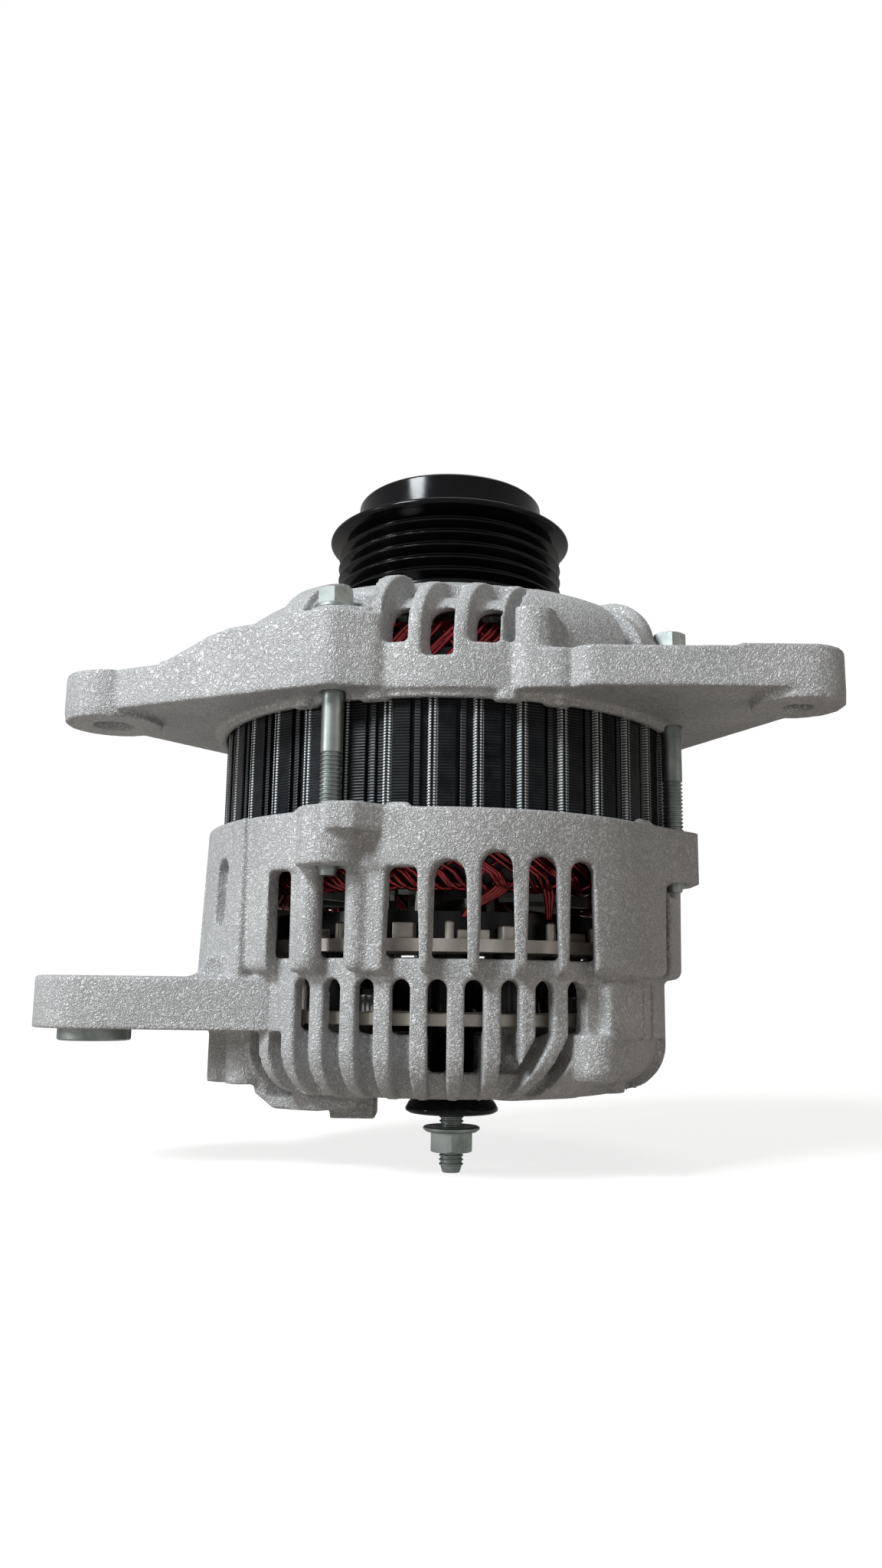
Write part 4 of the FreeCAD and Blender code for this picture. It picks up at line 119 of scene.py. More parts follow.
def add(tree, kind, inputs=None, **settings):
    """Adds a shader node, sets its properties, and fills or links its inputs."""
    node = tree.nodes.new(kind)
    for name, value in settings.items():
        setattr(node, name, value)
    for key, value in (inputs or {}).items():
        if isinstance(value, bpy.types.NodeSocket):
            tree.links.new(value, node.inputs[key])
        else:
            node.inputs[key].default_value = value
    return node


def ramp(tree, factor, stops):
    """A colour ramp through (position, grey or colour) stops."""
    node = add(tree, "ShaderNodeValToRGB", {"Fac": factor})
    elements = node.color_ramp.elements
    while len(elements) < len(stops):
        elements.new(0.5)
    for element, (place, colour) in zip(elements, stops):
        element.position = place
        if isinstance(colour, float):
            colour = (colour, colour, colour)
        element.color = (*colour, 1.0)
    return node.outputs["Color"]


def math_node(tree, operation, *values, clamp=False):
    """One arithmetic step on sockets or numbers."""
    node = add(tree, "ShaderNodeMath", dict(enumerate(values)), operation=operation,
               use_clamp=clamp)
    return node.outputs[0]


def mix(tree, factor, first, second, blend="MIX"):
    """Mixes two colours, either of which may be a socket or an (r, g, b) colour."""
    first = (*first, 1.0) if isinstance(first, tuple) else first
    second = (*second, 1.0) if isinstance(second, tuple) else second
    node = add(tree, "ShaderNodeMix", {0: factor, 6: first, 7: second},
               data_type="RGBA", blend_type=blend)
    return node.outputs[2]


def noise(tree, vector, scale, detail=2.0, roughness=0.5, distortion=0.0):
    """Noise between 0 and 1, with its scale in features a metre."""
    node = add(tree, "ShaderNodeTexNoise", {
        "Vector": vector, "Scale": scale, "Detail": detail,
        "Roughness": roughness, "Distortion": distortion})
    return node.outputs["Fac"]


print("shader helpers:", ", ".join(f.__name__ for f in (add, ramp, math_node, mix, noise)))

# %% [markdown]
# An effect that several materials share is a node group. It puts out only colours and
# values. The Principled shader stays in each material, and the group is wired into it.
# %% Helpers for groups and materials
COLOUR, VALUE = "NodeSocketColor", "NodeSocketFloat"


def group(name, outputs):
    """An empty node group whose vector comes from Object coordinates."""
    tree = bpy.data.node_groups.new(name, "ShaderNodeTree")
    for socket, kind in outputs:
        tree.interface.new_socket(name=socket, in_out="OUTPUT", socket_type=kind)
    where = add(tree, "ShaderNodeTexCoord").outputs["Object"]
    end = tree.nodes.new("NodeGroupOutput")
    return tree, where, end


def put_out(tree, end, **sockets):
    """Joins sockets to a group's own outputs."""
    for name, socket in sockets.items():
        tree.links.new(socket, end.inputs[name])
    print("group", tree.name, "has", len(tree.nodes), "nodes")


def material(name, **settings):
    """A Principled material with constants on the shader's own sockets."""
    made = bpy.data.materials.new(name)
    made.use_nodes = True
    shader = made.node_tree.nodes["Principled BSDF"]
    for key, value in settings.items():
        label = key.replace("_", " ").title().replace("Ior", "IOR")
        shader.inputs[label].default_value = value
    return made, made.node_tree, shader


def use(tree, effect):
    """Adds a shared node group to a material."""
    return add(tree, "ShaderNodeGroup", node_tree=effect)


def wire(tree, source, shader, target):
    """Joins a socket to one of the shader's own sockets."""
    tree.links.new(source, shader.inputs[target])


def bump(tree, shader, height, distance):
    """Turns a height into the shader's normal."""
    node = add(tree, "ShaderNodeBump", {
        "Strength": 1.0, "Distance": distance, "Height": height})
    wire(tree, node.outputs["Normal"], shader, "Normal")


print("outputs of a group are", COLOUR, "or", VALUE)

# %% [markdown]
# The aluminium castings have a blasted skin of short worm-like wrinkles. A noise has long
# thin contour lines where it crosses one half, so the distance from that crossing, taken
# twice at different sizes, gives ridges that wander like the real ones. Painted shade in the
# hollows and a slow blotch of light and dark tone keep the large faces from looking flat.
# %% Cast skin
WRINKLES = ((620.0, 1.6), (880.0, 1.1))
SOFTNESS, RIDGE_SLOPE = 0.35, 10.0
# How far the painted shade darkens the hollows of the wrinkles.
PAINTED_HOLLOW_SHADE = [(0.0, 0.62), (0.5, 1.0)]
GRAIN_SCALE, GRAIN_SHARE, BLOTCH_SCALE = 2600.0, 0.1, 45.0
DULL_CAST, PALE_CAST = (0.60, 0.605, 0.61), (0.70, 0.702, 0.70)

cast_skin, where, end = group("cast_skin", [
    ("Colour", COLOUR), ("Height", VALUE), ("Roughness", VALUE)])
worms = []
for scale, twist in WRINKLES:
    field = noise(cast_skin, where, scale, 1.0, SOFTNESS, twist)
    away = math_node(cast_skin, "ABSOLUTE", math_node(cast_skin, "SUBTRACT", field, 0.5))
    worms.append(math_node(cast_skin, "MULTIPLY", away, RIDGE_SLOPE, clamp=True))
both = math_node(cast_skin, "MULTIPLY", *worms)
grain = noise(cast_skin, where, GRAIN_SCALE)
blotch = noise(cast_skin, where, BLOTCH_SCALE, 3.0)
shade = ramp(cast_skin, blotch, [(0.3, DULL_CAST), (0.7, PALE_CAST)])
# Painted shade: the colour is darkened in the hollows of the wrinkles.
painted_hollow_shade = ramp(cast_skin, both, PAINTED_HOLLOW_SHADE)
put_out(cast_skin, end,
        Colour=mix(cast_skin, 1.0, shade, painted_hollow_shade, "MULTIPLY"),
        Height=math_node(cast_skin, "MULTIPLY_ADD", grain, GRAIN_SHARE, both),
        Roughness=ramp(cast_skin, blotch, [(0.2, 0.60), (0.8, 0.46)]))

# %% [markdown]
# The core is a stack of thin sheets under black varnish. A sine along Z draws their edges.
# Beside each notch stands a rib whose two corners catch the light, and this is painted into
# the colour as a highlight: the angle about the axis, taken from Object coordinates and
# folded into one slot's width, gives a mask for those corners. Times the sheets, it becomes
# dotted lines of painted highlight, as on the real core. A second painted highlight, much
# fainter, lies on the low band beside each notch's other edge.
# %% Folded angle and sheet edges
CORE_RADIUS, SLOTS = 62.0, 36
SLOT_ANGLE, SLOT_WIDTH = 360 / SLOTS, 2 * math.pi * CORE_RADIUS / SLOTS
SHEET_PITCH = 0.0007
RIB_AZIMUTH, RIB_LINES_APART = 6.5, 1.5

laminations, where, end = group("laminations", [
    ("Colour", COLOUR), ("Height", VALUE), ("Roughness", VALUE)])
axes = add(laminations, "ShaderNodeSeparateXYZ", {0: where})
phase = math_node(laminations, "MULTIPLY", axes.outputs["Z"], 2 * math.pi / SHEET_PITCH)
wave = math_node(laminations, "SINE", phase)
sheet = math_node(laminations, "MULTIPLY_ADD", wave, 0.5, 0.5)
towards_camera = math_node(laminations, "MULTIPLY", axes.outputs["Y"], -1.0)
turn = math_node(laminations, "ARCTAN2", axes.outputs["X"], towards_camera)
turn = math_node(laminations, "MULTIPLY_ADD", turn, SLOTS / (2 * math.pi),
                 0.5 - RIB_AZIMUTH / SLOT_ANGLE)
fold = math_node(laminations, "FLOORED_MODULO", turn, 1.0)
print("one slot is", round(SLOT_WIDTH, 2), "mm wide")

# %% [markdown]
# The masks are then mixed: painted highlight on the rib corners and on the fainter line, a
# hint of worn bare steel on the edges of the sheets elsewhere, and varnish over the rest.
# %% Painted highlights and worn sheet edges of the core
# The edge of the painted highlight on each rib corner, and the sheets' dots within it.
HIGHLIGHT_EDGE, SHEET_DOTS = [(0.28, 1.0), (0.48, 0.0)], [(0.25, 0.08), (0.7, 1.0)]
WEAR_SCALE, RUBBED = 260.0, [(0.40, 0.12), (0.62, 0.55)]
# Place, reach and strength of the second, fainter painted highlight.
SECOND_HIGHLIGHT, SECOND_HIGHLIGHT_REACH, SECOND_HIGHLIGHT_SHARE = 0.17, 0.06, 0.08
SHEET_SHARE = 0.05
# The pale colour stands for worn steel and for painted highlight alike.
VARNISH, BARE_STEEL_AND_HIGHLIGHT = (0.003, 0.004, 0.006), (0.90, 0.95, 0.97)

# Painted highlight: a mask for the two lit corners of each rib.
off = math_node(laminations, "ABSOLUTE", math_node(laminations, "SUBTRACT", fold, 0.5))
line = math_node(laminations, "SUBTRACT", off, RIB_LINES_APART / 2 / SLOT_WIDTH)
line = math_node(laminations, "ABSOLUTE", line)
line = ramp(laminations, math_node(laminations, "MULTIPLY", line, SLOT_WIDTH), HIGHLIGHT_EDGE)
dots = ramp(laminations, sheet, SHEET_DOTS)
rib_highlight = math_node(laminations, "MULTIPLY", line, dots)
wear = noise(laminations, where, WEAR_SCALE, 3.0)
rubbed = ramp(laminations, wear, RUBBED)
plain = math_node(laminations, "MULTIPLY", sheet, rubbed)
plain = math_node(laminations, "MULTIPLY", plain, SHEET_SHARE)
# Painted highlight: a faint lit line on the low band.
second = math_node(laminations, "COMPARE", fold, SECOND_HIGHLIGHT, SECOND_HIGHLIGHT_REACH)
second = math_node(laminations, "MULTIPLY", second, dots)
second = math_node(laminations, "MULTIPLY", second, SECOND_HIGHLIGHT_SHARE)
# Worn sheet edges and the painted highlights together pick the pale colour.
wear_and_highlight = math_node(laminations, "MAXIMUM", plain, second)
wear_and_highlight = math_node(laminations, "MAXIMUM", wear_and_highlight, rib_highlight)
put_out(laminations, end,
        Colour=mix(laminations, wear_and_highlight, VARNISH, BARE_STEEL_AND_HIGHLIGHT),
        Height=sheet,
        Roughness=ramp(laminations, wear, [(0.3, 0.34), (0.7, 0.24)]))

# %% [markdown]
# Small steel and plastic parts share two plain effects: a stain that drifts over them, and
# a fine grain. Each material picks its own colours with them.
# %% Wear and grain
STAIN_SCALE, FINE_SCALE = 210.0, 4200.0

wear_marks, where, end = group("wear_marks", [("Mask", VALUE), ("Height", VALUE)])
put_out(wear_marks, end,
        Mask=noise(wear_marks, where, STAIN_SCALE, 4.0, 0.6),
        Height=noise(wear_marks, where, FINE_SCALE))

# %% [markdown]
# Each record slot becomes one Principled material. Constants sit on the shader itself, and
# only colour, roughness and height arrive through the shared groups. A worn material is
# given its light and its dark colour, its least and greatest roughness, and the depth of
# its grain in metres.
# %% Two kinds of material
materials = {}


def worn(name, light, dark, rough, depth, **settings):
    """A material whose colour and roughness drift with the wear marks."""
    made, tree, shader = material(name, **settings)
    marks = use(tree, wear_marks)
    low, high = rough
    wire(tree, ramp(tree, marks.outputs["Mask"], [(0.3, dark), (0.65, light)]),
         shader, "Base Color")
    wire(tree, ramp(tree, marks.outputs["Mask"], [(0.3, high), (0.7, low)]),
         shader, "Roughness")
    bump(tree, shader, marks.outputs["Height"], depth)
    materials[name] = made


def grouped(name, effect, depth, **settings):
    """A material that takes colour, roughness and height from one shared group."""
    made, tree, shader = material(name, **settings)
    look = use(tree, effect)
    wire(tree, look.outputs["Colour"], shader, "Base Color")
    wire(tree, look.outputs["Roughness"], shader, "Roughness")
    bump(tree, shader, look.outputs["Height"], depth)
    materials[name] = made


print("kinds:", worn.__name__, "and", grouped.__name__)

# %% [markdown]
# The castings and the core have a group of their own. The rest are worn: the red enamel is
# a metal under a clear coat, zinc is a dull blue-green grey, and the pulley's black paint
# is so dark and smooth that only its highlights show.
# %% Materials
grouped("cast_aluminium", cast_skin, 0.00014, metallic=0.3, specular_ior_level=0.25)
grouped("laminated_steel", laminations, 0.00008, metallic=0.1, specular_ior_level=0.14)
worn("insulating_sheet", (0.55, 0.52, 0.42), (0.42, 0.38, 0.28), (0.5, 0.7), 0.00002)
worn("enamelled_copper", (0.42, 0.012, 0.016), (0.20, 0.006, 0.008), (0.20, 0.30), 0.00001,
     metallic=0.85, coat_weight=1.0, coat_roughness=0.05)
worn("zinc_steel", (0.40, 0.44, 0.425), (0.25, 0.285, 0.275), (0.34, 0.48), 0.00001,
     metallic=0.9)
worn("bearing_steel", (0.62, 0.62, 0.62), (0.50, 0.50, 0.50), (0.12, 0.22), 0.000004,
     metallic=1.0)
worn("pole_steel", (0.24, 0.23, 0.22), (0.12, 0.11, 0.10), (0.35, 0.55), 0.00003,
     metallic=0.8)
worn("bobbin_plastic", (0.62, 0.60, 0.52), (0.50, 0.47, 0.40), (0.4, 0.55), 0.00002)
worn("black_plastic", (0.014, 0.014, 0.015), (0.009, 0.009, 0.010), (0.2, 0.38), 0.00002,
     specular_ior_level=0.35)
worn("ring_copper", (0.75, 0.42, 0.26), (0.52, 0.26, 0.15), (0.2, 0.35), 0.00001,
     metallic=1.0)
worn("black_coated_steel", (0.005, 0.005, 0.006), (0.003, 0.003, 0.004), (0.11, 0.18),
     0.000003, specular_ior_level=0.22)
worn("heat_sink_aluminium", (0.60, 0.57, 0.51), (0.46, 0.43, 0.38), (0.35, 0.5), 0.00002,
     metallic=0.5)
worn("carbon", (0.06, 0.06, 0.06), (0.03, 0.03, 0.03), (0.55, 0.7), 0.00003)
worn("spring_steel", (0.45, 0.44, 0.42), (0.30, 0.29, 0.27), (0.2, 0.35), 0.00001,
     metallic=1.0)
print("materials:", len(materials))

# %% [markdown]
# A CAD node is a mesh of loose triangles. Before it can be reworked, its doubled corners
# are merged and its flat faces are joined up again. The copy is a new bmesh, so the node
# itself is never touched, and the finished piece takes the body and the slot's material of
# the node it stands in for, which is hidden. The imported materials are renamed, so that
# they can't be taken for the ones made above.
# %% Copying nodes and finishing pieces
SLOT_OF = {name: node.data.materials[0].name for name, node in nodes.items()}
BODY_OF = {name: node["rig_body"] for name, node in nodes.items()}
for slot in set(SLOT_OF.values()):
    bpy.data.materials[slot].name = "imported_" + slot


def copy_of(name, flat=0.0):
    """A bmesh of a CAD node with its doubles merged and its flat faces joined."""
    bm = bmesh.new()
    bm.from_mesh(nodes[name].data)
    bmesh.ops.remove_doubles(bm, verts=bm.verts, dist=2e-6)
    if flat:
        bmesh.ops.dissolve_limit(
            bm, angle_limit=math.radians(flat), verts=bm.verts, edges=bm.edges)
    return bm


def merged(*parts):
    """One bmesh out of several."""
    whole = bmesh.new()
    for part in parts:
        mesh = bpy.data.meshes.new("part")
        part.to_mesh(mesh)
        part.free()
        whole.from_mesh(mesh)
        bpy.data.meshes.remove(mesh)
    return whole


def finish_mesh(piece_name, mesh, *stands_for, crease=35.0, look=None):
    """Gives a mesh its object, shading, its node's slot material and body, and hides the nodes.
    """
    for face in mesh.polygons:
        face.use_smooth = True
    mesh.set_sharp_from_angle(angle=math.radians(crease))
    made = bpy.data.objects.new(piece_name, mesh)
    scene.collection.objects.link(made)
    slot = SLOT_OF[stands_for[0]]
    mesh.materials.clear()
    mesh.materials.append(materials[look or slot])
    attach(made, BODY_OF[stands_for[0]])
    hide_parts(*stands_for)
    return made


def finish_piece(piece_name, bm, *stands_for, **finish):
    """Turns a bmesh into a finished piece and prints its size."""
    mesh = bpy.data.meshes.new(piece_name)
    bm.to_mesh(mesh)
    bm.free()
    print(piece_name, "has", sum(len(face.vertices) - 2 for face in mesh.polygons), "triangles")
    return finish_mesh(piece_name, mesh, *stands_for, **finish)


print("slots:", sorted(set(SLOT_OF.values())))

# %% [markdown]
# Most of the machine is turned or pressed, so a few helpers go a long way: a spin of a
# half section, a bevel, and a block with its edges rounded. Blender's bevel from a script
# has other defaults than in the editor, so its settings are all given here, once.
# %% Turned shapes and blocks


def spun(profile, steps=96):
    """Spins a profile of (radius, height) points, in millimetres, round the Z axis."""
    bm = bmesh.new()
    points = [bm.verts.new((r / 1000, 0.0, z / 1000)) for r, z in profile]
    edges = [bm.edges.new(pair) for pair in zip(points, points[1:])]
    bmesh.ops.spin(
        bm, geom=points + edges, cent=(0, 0, 0), axis=(0, 0, 1), angle=2 * math.pi,
        steps=steps, use_merge=True)
    bmesh.ops.remove_doubles(bm, verts=bm.verts, dist=1e-7)
    bmesh.ops.recalc_face_normals(bm, faces=bm.faces)
    return bm


def bevel(bm, edges, width, segments=2, clamp=False):
    """Rounds or breaks edges by a width in millimetres."""
    bmesh.ops.bevel(
        bm, geom=edges, offset=width / 1000, affect="EDGES", segments=segments, profile=0.5,
        material=-1, clamp_overlap=clamp)


def sharp_edges(bm, degrees):
    """The edges at which a bmesh turns by more than some degrees."""
    least = math.radians(degrees)
    return [e for e in bm.edges if e.is_manifold and e.calc_face_angle(0.0) > least]


def block(width, depth, height, rounding=0.0):
    """A block about the origin, with its edges rounded."""
    bm = bmesh.new()
    bmesh.ops.create_cube(bm, size=0.001)
    bmesh.ops.scale(bm, verts=bm.verts, vec=(width, depth, height))
    if rounding:
        bevel(bm, bm.edges[:], rounding)
    return bm


print("a block starts as a cube of", len(block(1.0, 1.0, 1.0).verts), "corners")

# %% [markdown]
# Each shape is made at the origin or on the rotor's axis, and is then moved to its place.
# A place on the machine is easiest to give as a radius, an azimuth and a height.
# %% Places


def on_ring(radius, azimuth, height=0.0):
    """A point at a radius and azimuth about the rotor's axis."""
    turn = math.radians(azimuth)
    return (radius * math.sin(turn), -radius * math.cos(turn), height)


def moved(bm, x, y, z=0.0):
    """Moves a bmesh by millimetres."""
    bmesh.ops.translate(bm, verts=bm.verts, vec=(x / 1000, y / 1000, z / 1000))
    return bm


def rotated(bm, azimuth):
    """Turns a bmesh about the rotor's axis."""
    bmesh.ops.rotate(bm, verts=bm.verts, cent=(0, 0, 0),
                     matrix=Matrix.Rotation(math.radians(azimuth), 3, "Z"))
    return bm


def turned(bm, radius, azimuth, height=0.0):
    """Moves a bmesh from the origin out to a radius, an azimuth and a height."""
    return rotated(moved(bm, 0.0, -radius, height), azimuth)


def at_every_slot(bm):
    """Copies a bmesh round the core, one step to a slot, back to where it stands."""
    bmesh.ops.spin(
        bm, geom=bm.verts[:] + bm.edges[:] + bm.faces[:], cent=(0, 0, 0), axis=(0, 0, 1),
        angle=2 * math.pi, steps=SLOTS, use_duplicate=True)
    return bm


print("the core has", SLOTS, "slots,", SLOT_ANGLE, "degrees apart")

# %% [markdown]
# A mould leaves no sharp edge anywhere: every corner is rounded by a millimetre or so,
# inside and outside. Bevelling hundreds of crossing edges would fail somewhere, so the two
# castings are voxelised instead. A voxel remesh turns the solid into even small quads,
# smoothing rounds all the edges at once, and a decimate step spends the triangles where the
# shape bends. The remesh also fuses what overlaps, so the screw boss and the ledge over it,
# low on the right of the rear casting, are simply laid into its wall first.
# %% Castings
CAST_LIMIT = 190000
VOXEL = 0.0006


def casting(name, rounds, *extras):
    """A casting with the soft edges that its mould leaves."""
    mesh = bpy.data.meshes.new(name + "_cast")
    bm = merged(copy_of(name), *extras)
    bm.to_mesh(mesh)
    bm.free()
    rough = bpy.data.objects.new(name + "_rough", mesh)
    scene.collection.objects.link(rough)
    remesh = rough.modifiers.new("voxels", "REMESH")
    remesh.mode = "VOXEL"
    remesh.voxel_size = VOXEL
    smooth = rough.modifiers.new("rounding", "SMOOTH")
    smooth.factor = 0.5
    smooth.iterations = rounds
    graph = bpy.context.evaluated_depsgraph_get()
    triangles = 2 * len(rough.evaluated_get(graph).data.polygons)
    if triangles > CAST_LIMIT:
        thin = rough.modifiers.new("thinning", "DECIMATE")
        thin.ratio = CAST_LIMIT / triangles
        graph = bpy.context.evaluated_depsgraph_get()
    soft = bpy.data.meshes.new_from_object(rough.evaluated_get(graph))
    bpy.data.objects.remove(rough)
    made = finish_mesh(name + "_casting", soft, name, crease=60.0)
    print(made.name, "from", triangles, "to", len(soft.polygons), "faces")


boss = spun([(0.0, -127.6), (6.6, -127.6), (6.6, -136.2), (5.6, -138.3), (0.0, -138.6)],
            steps=48)
ledge = block(width=13.6, depth=6.0, height=13.7, rounding=1.0)
casting("front_bracket", 4)
casting("rear_bracket", 3, turned(boss, radius=58.0, azimuth=36.5),
        turned(ledge, radius=60.4, azimuth=43.0, height=-121.9))

# %% [markdown]
# The core's outside is not plain: between the notches each land carries a low band, and a
# narrow rib stands beside each notch and catches the light. The CAD core keeps the teeth
# and slots. Its outer wall is drawn in a little, and the lands, bands and ribs are small
# bevelled blocks that a spin sets at every slot.
# %% Stator core
CORE_TOP, CORE_LOW = -48.0, -79.0
WALL_STARTS, WALL_DRAWN_TO = 61.3, 60.95


def strip(azimuth, width, inner, below):
    """An upright bar at every slot, its face a little below the core's radius."""
    outer = CORE_RADIUS - below
    bar = block(width, outer - inner, CORE_TOP - CORE_LOW)
    front = [e for e in bar.edges
             if abs(e.verts[0].co.z - e.verts[1].co.z) > 0.01 and e.verts[0].co.y < 0.0]
    bevel(bar, front, 0.25)
    turned(bar, (outer + inner) / 2, azimuth, (CORE_TOP + CORE_LOW) / 2)
    return at_every_slot(bar)


core = copy_of("stator_core")
for corner in core.verts:
    radius = 1000 * corner.co.xy.length
    if radius > WALL_STARTS:
        corner.co.xy *= WALL_DRAWN_TO / radius
lands = strip(azimuth=9.6, width=4.5, inner=60.7, below=0.1)
bands = strip(azimuth=13.2, width=1.5, inner=60.7, below=0.35)
ribs = strip(RIB_AZIMUTH, width=1.7, inner=60.6, below=0.02)
finish_piece("stator_core_stack", merged(core, lands, bands, ribs), "stator_core",
             crease=25.0)

# %% [markdown]
# Under the wires of the winding lie a ring at each end and a bar of copper in every slot of
# the core. They are black as painted shade, standing for the shadow under and between the
# wires.
# %% Rings of the winding, black as painted shade
RING_INSIDE, RING_OUTSIDE = 48.9, 56.0


def crown_core(near, far):
    """The ring under the wires, from the core's face to the winding's end, shown in painted
    shade.
    """
    end = far - math.copysign(2.0, far - near)
    side = far - math.copysign(5.5, far - near)
    return spun([(RING_INSIDE, near), (RING_OUTSIDE, near), (RING_OUTSIDE, side),
                 (53.0, end), (51.5, end), (RING_INSIDE, side), (RING_INSIDE, near)],
                steps=72)


bar = block(width=3.2, depth=9.0, height=35.4)
bars = at_every_slot(turned(bar, 51.4, SLOT_ANGLE / 2, (CORE_TOP + CORE_LOW) / 2))
# Painted shade: the rings and bars take the black plastic look to stand for the shadow under
# the wires.
shade_rings = merged(crown_core(-46.7, -30.6), crown_core(-80.3, -95.0), bars)
finish_piece("winding_rings", shade_rings, "stator_winding", crease=40.0,
             look="black_plastic")

# %% [markdown]
# A wire is a poly curve with a round bevel, which is the simplest way to a tube along any
# path. All the wires of a bundle are splines of one curve, which is turned to a mesh.
# %% Wires as tubes


def tubes(name, paths, radius):
    """Round wires along paths of points, in millimetres, as one bmesh."""
    data = bpy.data.curves.new(name, "CURVE")
    data.dimensions = "3D"
    data.bevel_depth = radius / 1000
    data.bevel_resolution = 1
    data.use_fill_caps = True
    for path in paths:
        spline = data.splines.new("POLY")
        spline.points.add(len(path) - 1)
        for point, place in zip(spline.points, path):
            point.co = (*(v / 1000 for v in place), 1.0)
    holder = bpy.data.objects.new(name, data)
    scene.collection.objects.link(holder)
    graph = bpy.context.evaluated_depsgraph_get()
    mesh = bpy.data.meshes.new_from_object(holder.evaluated_get(graph))
    bm = bmesh.new()
    bm.from_mesh(mesh)
    bmesh.ops.recalc_face_normals(bm, faces=bm.faces)
    bpy.data.objects.remove(holder)
    bpy.data.meshes.remove(mesh)
    return bm


print("wires are made by", tubes.__name__)

# %% [markdown]
# The winding shows through the vents as a nest of red enamelled wires. Every wire climbs
# the outside, crosses the rounded end and dives inside, moving sideways as it goes. A
# seeded dice spreads them, the same on each run.
# %% Winding
WIRES, WIRE_RADIUS = 204, 0.62
OUTER_WIRES, INNER_WIRES, SHOULDER = 56.7, 48.4, 3.4
dice = random.Random(7)


def end_turn(azimuth, sweep, near, far, depth):
    """The path of one wire: up the outside, over the end and down the inside."""
    outer, inner = OUTER_WIRES - depth, INNER_WIRES + depth
    tip = far - math.copysign(0.8 + depth, far - near)
    back = math.copysign(SHOULDER, far - near)
    path = [(outer, share, near + (tip - near) * share) for share in (0.0, 0.3, 0.55)]
    path += [
        (outer, 0.8, tip - back), (outer - SHOULDER * 0.3, 0.9, tip - back * 0.3),
        (outer - SHOULDER, 1.0, tip), (outer - (outer - inner) / 2, 1.15, tip),
        (inner + SHOULDER, 1.3, tip - back * 0.2), (inner, 1.5, tip - back),
        (inner, 2.0, near)]
    wander = dice.uniform(-0.2, 0.2)
    return [on_ring(radius + wander * math.sin(3.0 * i), azimuth + sweep * share, height)
            for i, (radius, share, height) in enumerate(path)]


def crown(near, far):
    """All the wires of one end of the winding. Every sixth lies deeper and leans back."""
    paths = []
    for i in range(WIRES):
        start = 360.0 * i / WIRES + dice.uniform(-0.5, 0.5)
        deep = i % 6 == 0
        sweep = dice.uniform(17.0, 20.0) * (-0.8 if deep else 1.0)
        depth = 0.9 if deep else dice.uniform(0.0, 0.4)
        paths.append(end_turn(start, sweep, near, far, depth))
    return tubes("crown", paths, WIRE_RADIUS)


winding = merged(crown(-46.6, -28.2), crown(-80.4, -95.1))
finish_piece("winding_wires", winding, "stator_winding", crease=80.0)

# %% [markdown]
# Three bundles of wire leave the winding's lower end and lean over to the rectifier. Each
# is a few tubes side by side, drawn together at the foot.
# %% Leads
LEAD_RADIUS, STRAND_STEP = 0.6, 1.15


def lead(azimuth, lean, strands):
    """A flat bundle of wires from the winding down to the rectifier."""
    paths = []
    for i in range(strands):
        shift = STRAND_STEP * i
        paths.append([
            on_ring(54.5 - 0.3 * i, azimuth + lean + shift, -92.5),
            on_ring(53.6, azimuth + 0.7 * lean + shift, -95.0),
            on_ring(51.5, azimuth + 0.2 * lean + 0.6 * shift, -98.0),
            on_ring(50.6, azimuth + 0.4 * shift, -100.5)])
    return paths


leads = tubes("leads", lead(-28, 5, 3) + lead(4.5, 9, 4) + lead(29, -4, 3), LEAD_RADIUS)
finish_piece("winding_lead_wires", leads, "winding_leads", crease=80.0)

# %% [markdown]
# The pulley is one turned shape, so one spin of its section makes it. The belt's ribs sit
# in V-grooves whose crests are rolled round, and these round crests are what draws the
# bright curved lines on the black paint. A bevel after the spin rounds them.
# %% Pulley
GROOVES, PITCH, CREST, DEPTH = 6, 3.56, 32.6, 2.8
BORE, FLANGE, NOSE_TOP = 18.0, 34.4, 23.1
half = GROOVES * PITCH / 2
low_end = -half - 1.7

section = [(BORE, low_end), (FLANGE, low_end), (FLANGE, -half)]
for i in range(GROOVES):
    centre = -half + (i + 0.5) * PITCH
    section += [(CREST - DEPTH, centre - 0.25), (CREST - DEPTH, centre + 0.25)]
    if i < GROOVES - 1:
        section += [(CREST, centre + PITCH / 2 - 0.2), (CREST, centre + PITCH / 2 + 0.2)]
section += [
    (FLANGE, half), (35.1, half + 0.6), (34.9, half + 1.4), (34.2, half + 1.75),
    (26.9, 14.1), (26.8, 22.4), (26.1, NOSE_TOP), (24.1, NOSE_TOP), (24.1, 21.2),
    (BORE, 21.2), (BORE, low_end)]
pulley = spun(section, steps=160)
bevel(pulley, sharp_edges(pulley, 20), 0.22, clamp=True)
finish_piece("pulley_wheel", pulley, "pulley_ring", crease=50.0)

# %% [markdown]
# A black bush insulates the output stud where it passes through the rear casting. Below
# the casting it widens into a round flange. It is turned, like the pulley.
# %% Insulator bush
STUD_PLACE = (2.0, -32.0)

bush = spun([
    (3.1, -145.6), (7.5, -147.0), (10.4, -147.1), (11.3, -146.6), (11.4, -146.0),
    (10.6, -144.6), (9.6, -143.6), (9.0, -143.05), (5.4, -143.05), (5.4, -109.1),
    (3.1, -109.1), (3.1, -145.6)], steps=64)
finish_piece("insulator_bush", moved(bush, *STUD_PLACE), "terminal_insulator", crease=60.0,
             look="black_coated_steel")

# %% [markdown]
# A real bolt has a hexagon whose corners are cut by a cone, a washer face, and a rolled
# thread. The hexagon is a six-sided cylinder, and a ring of slanted plane cuts, close to
# that cone, takes its corners off. The thread is a stack of small ridges on the spun shank.
# %% Hexagons and threads
CHAMFER, CHAMFER_CUTS = 0.5, 24


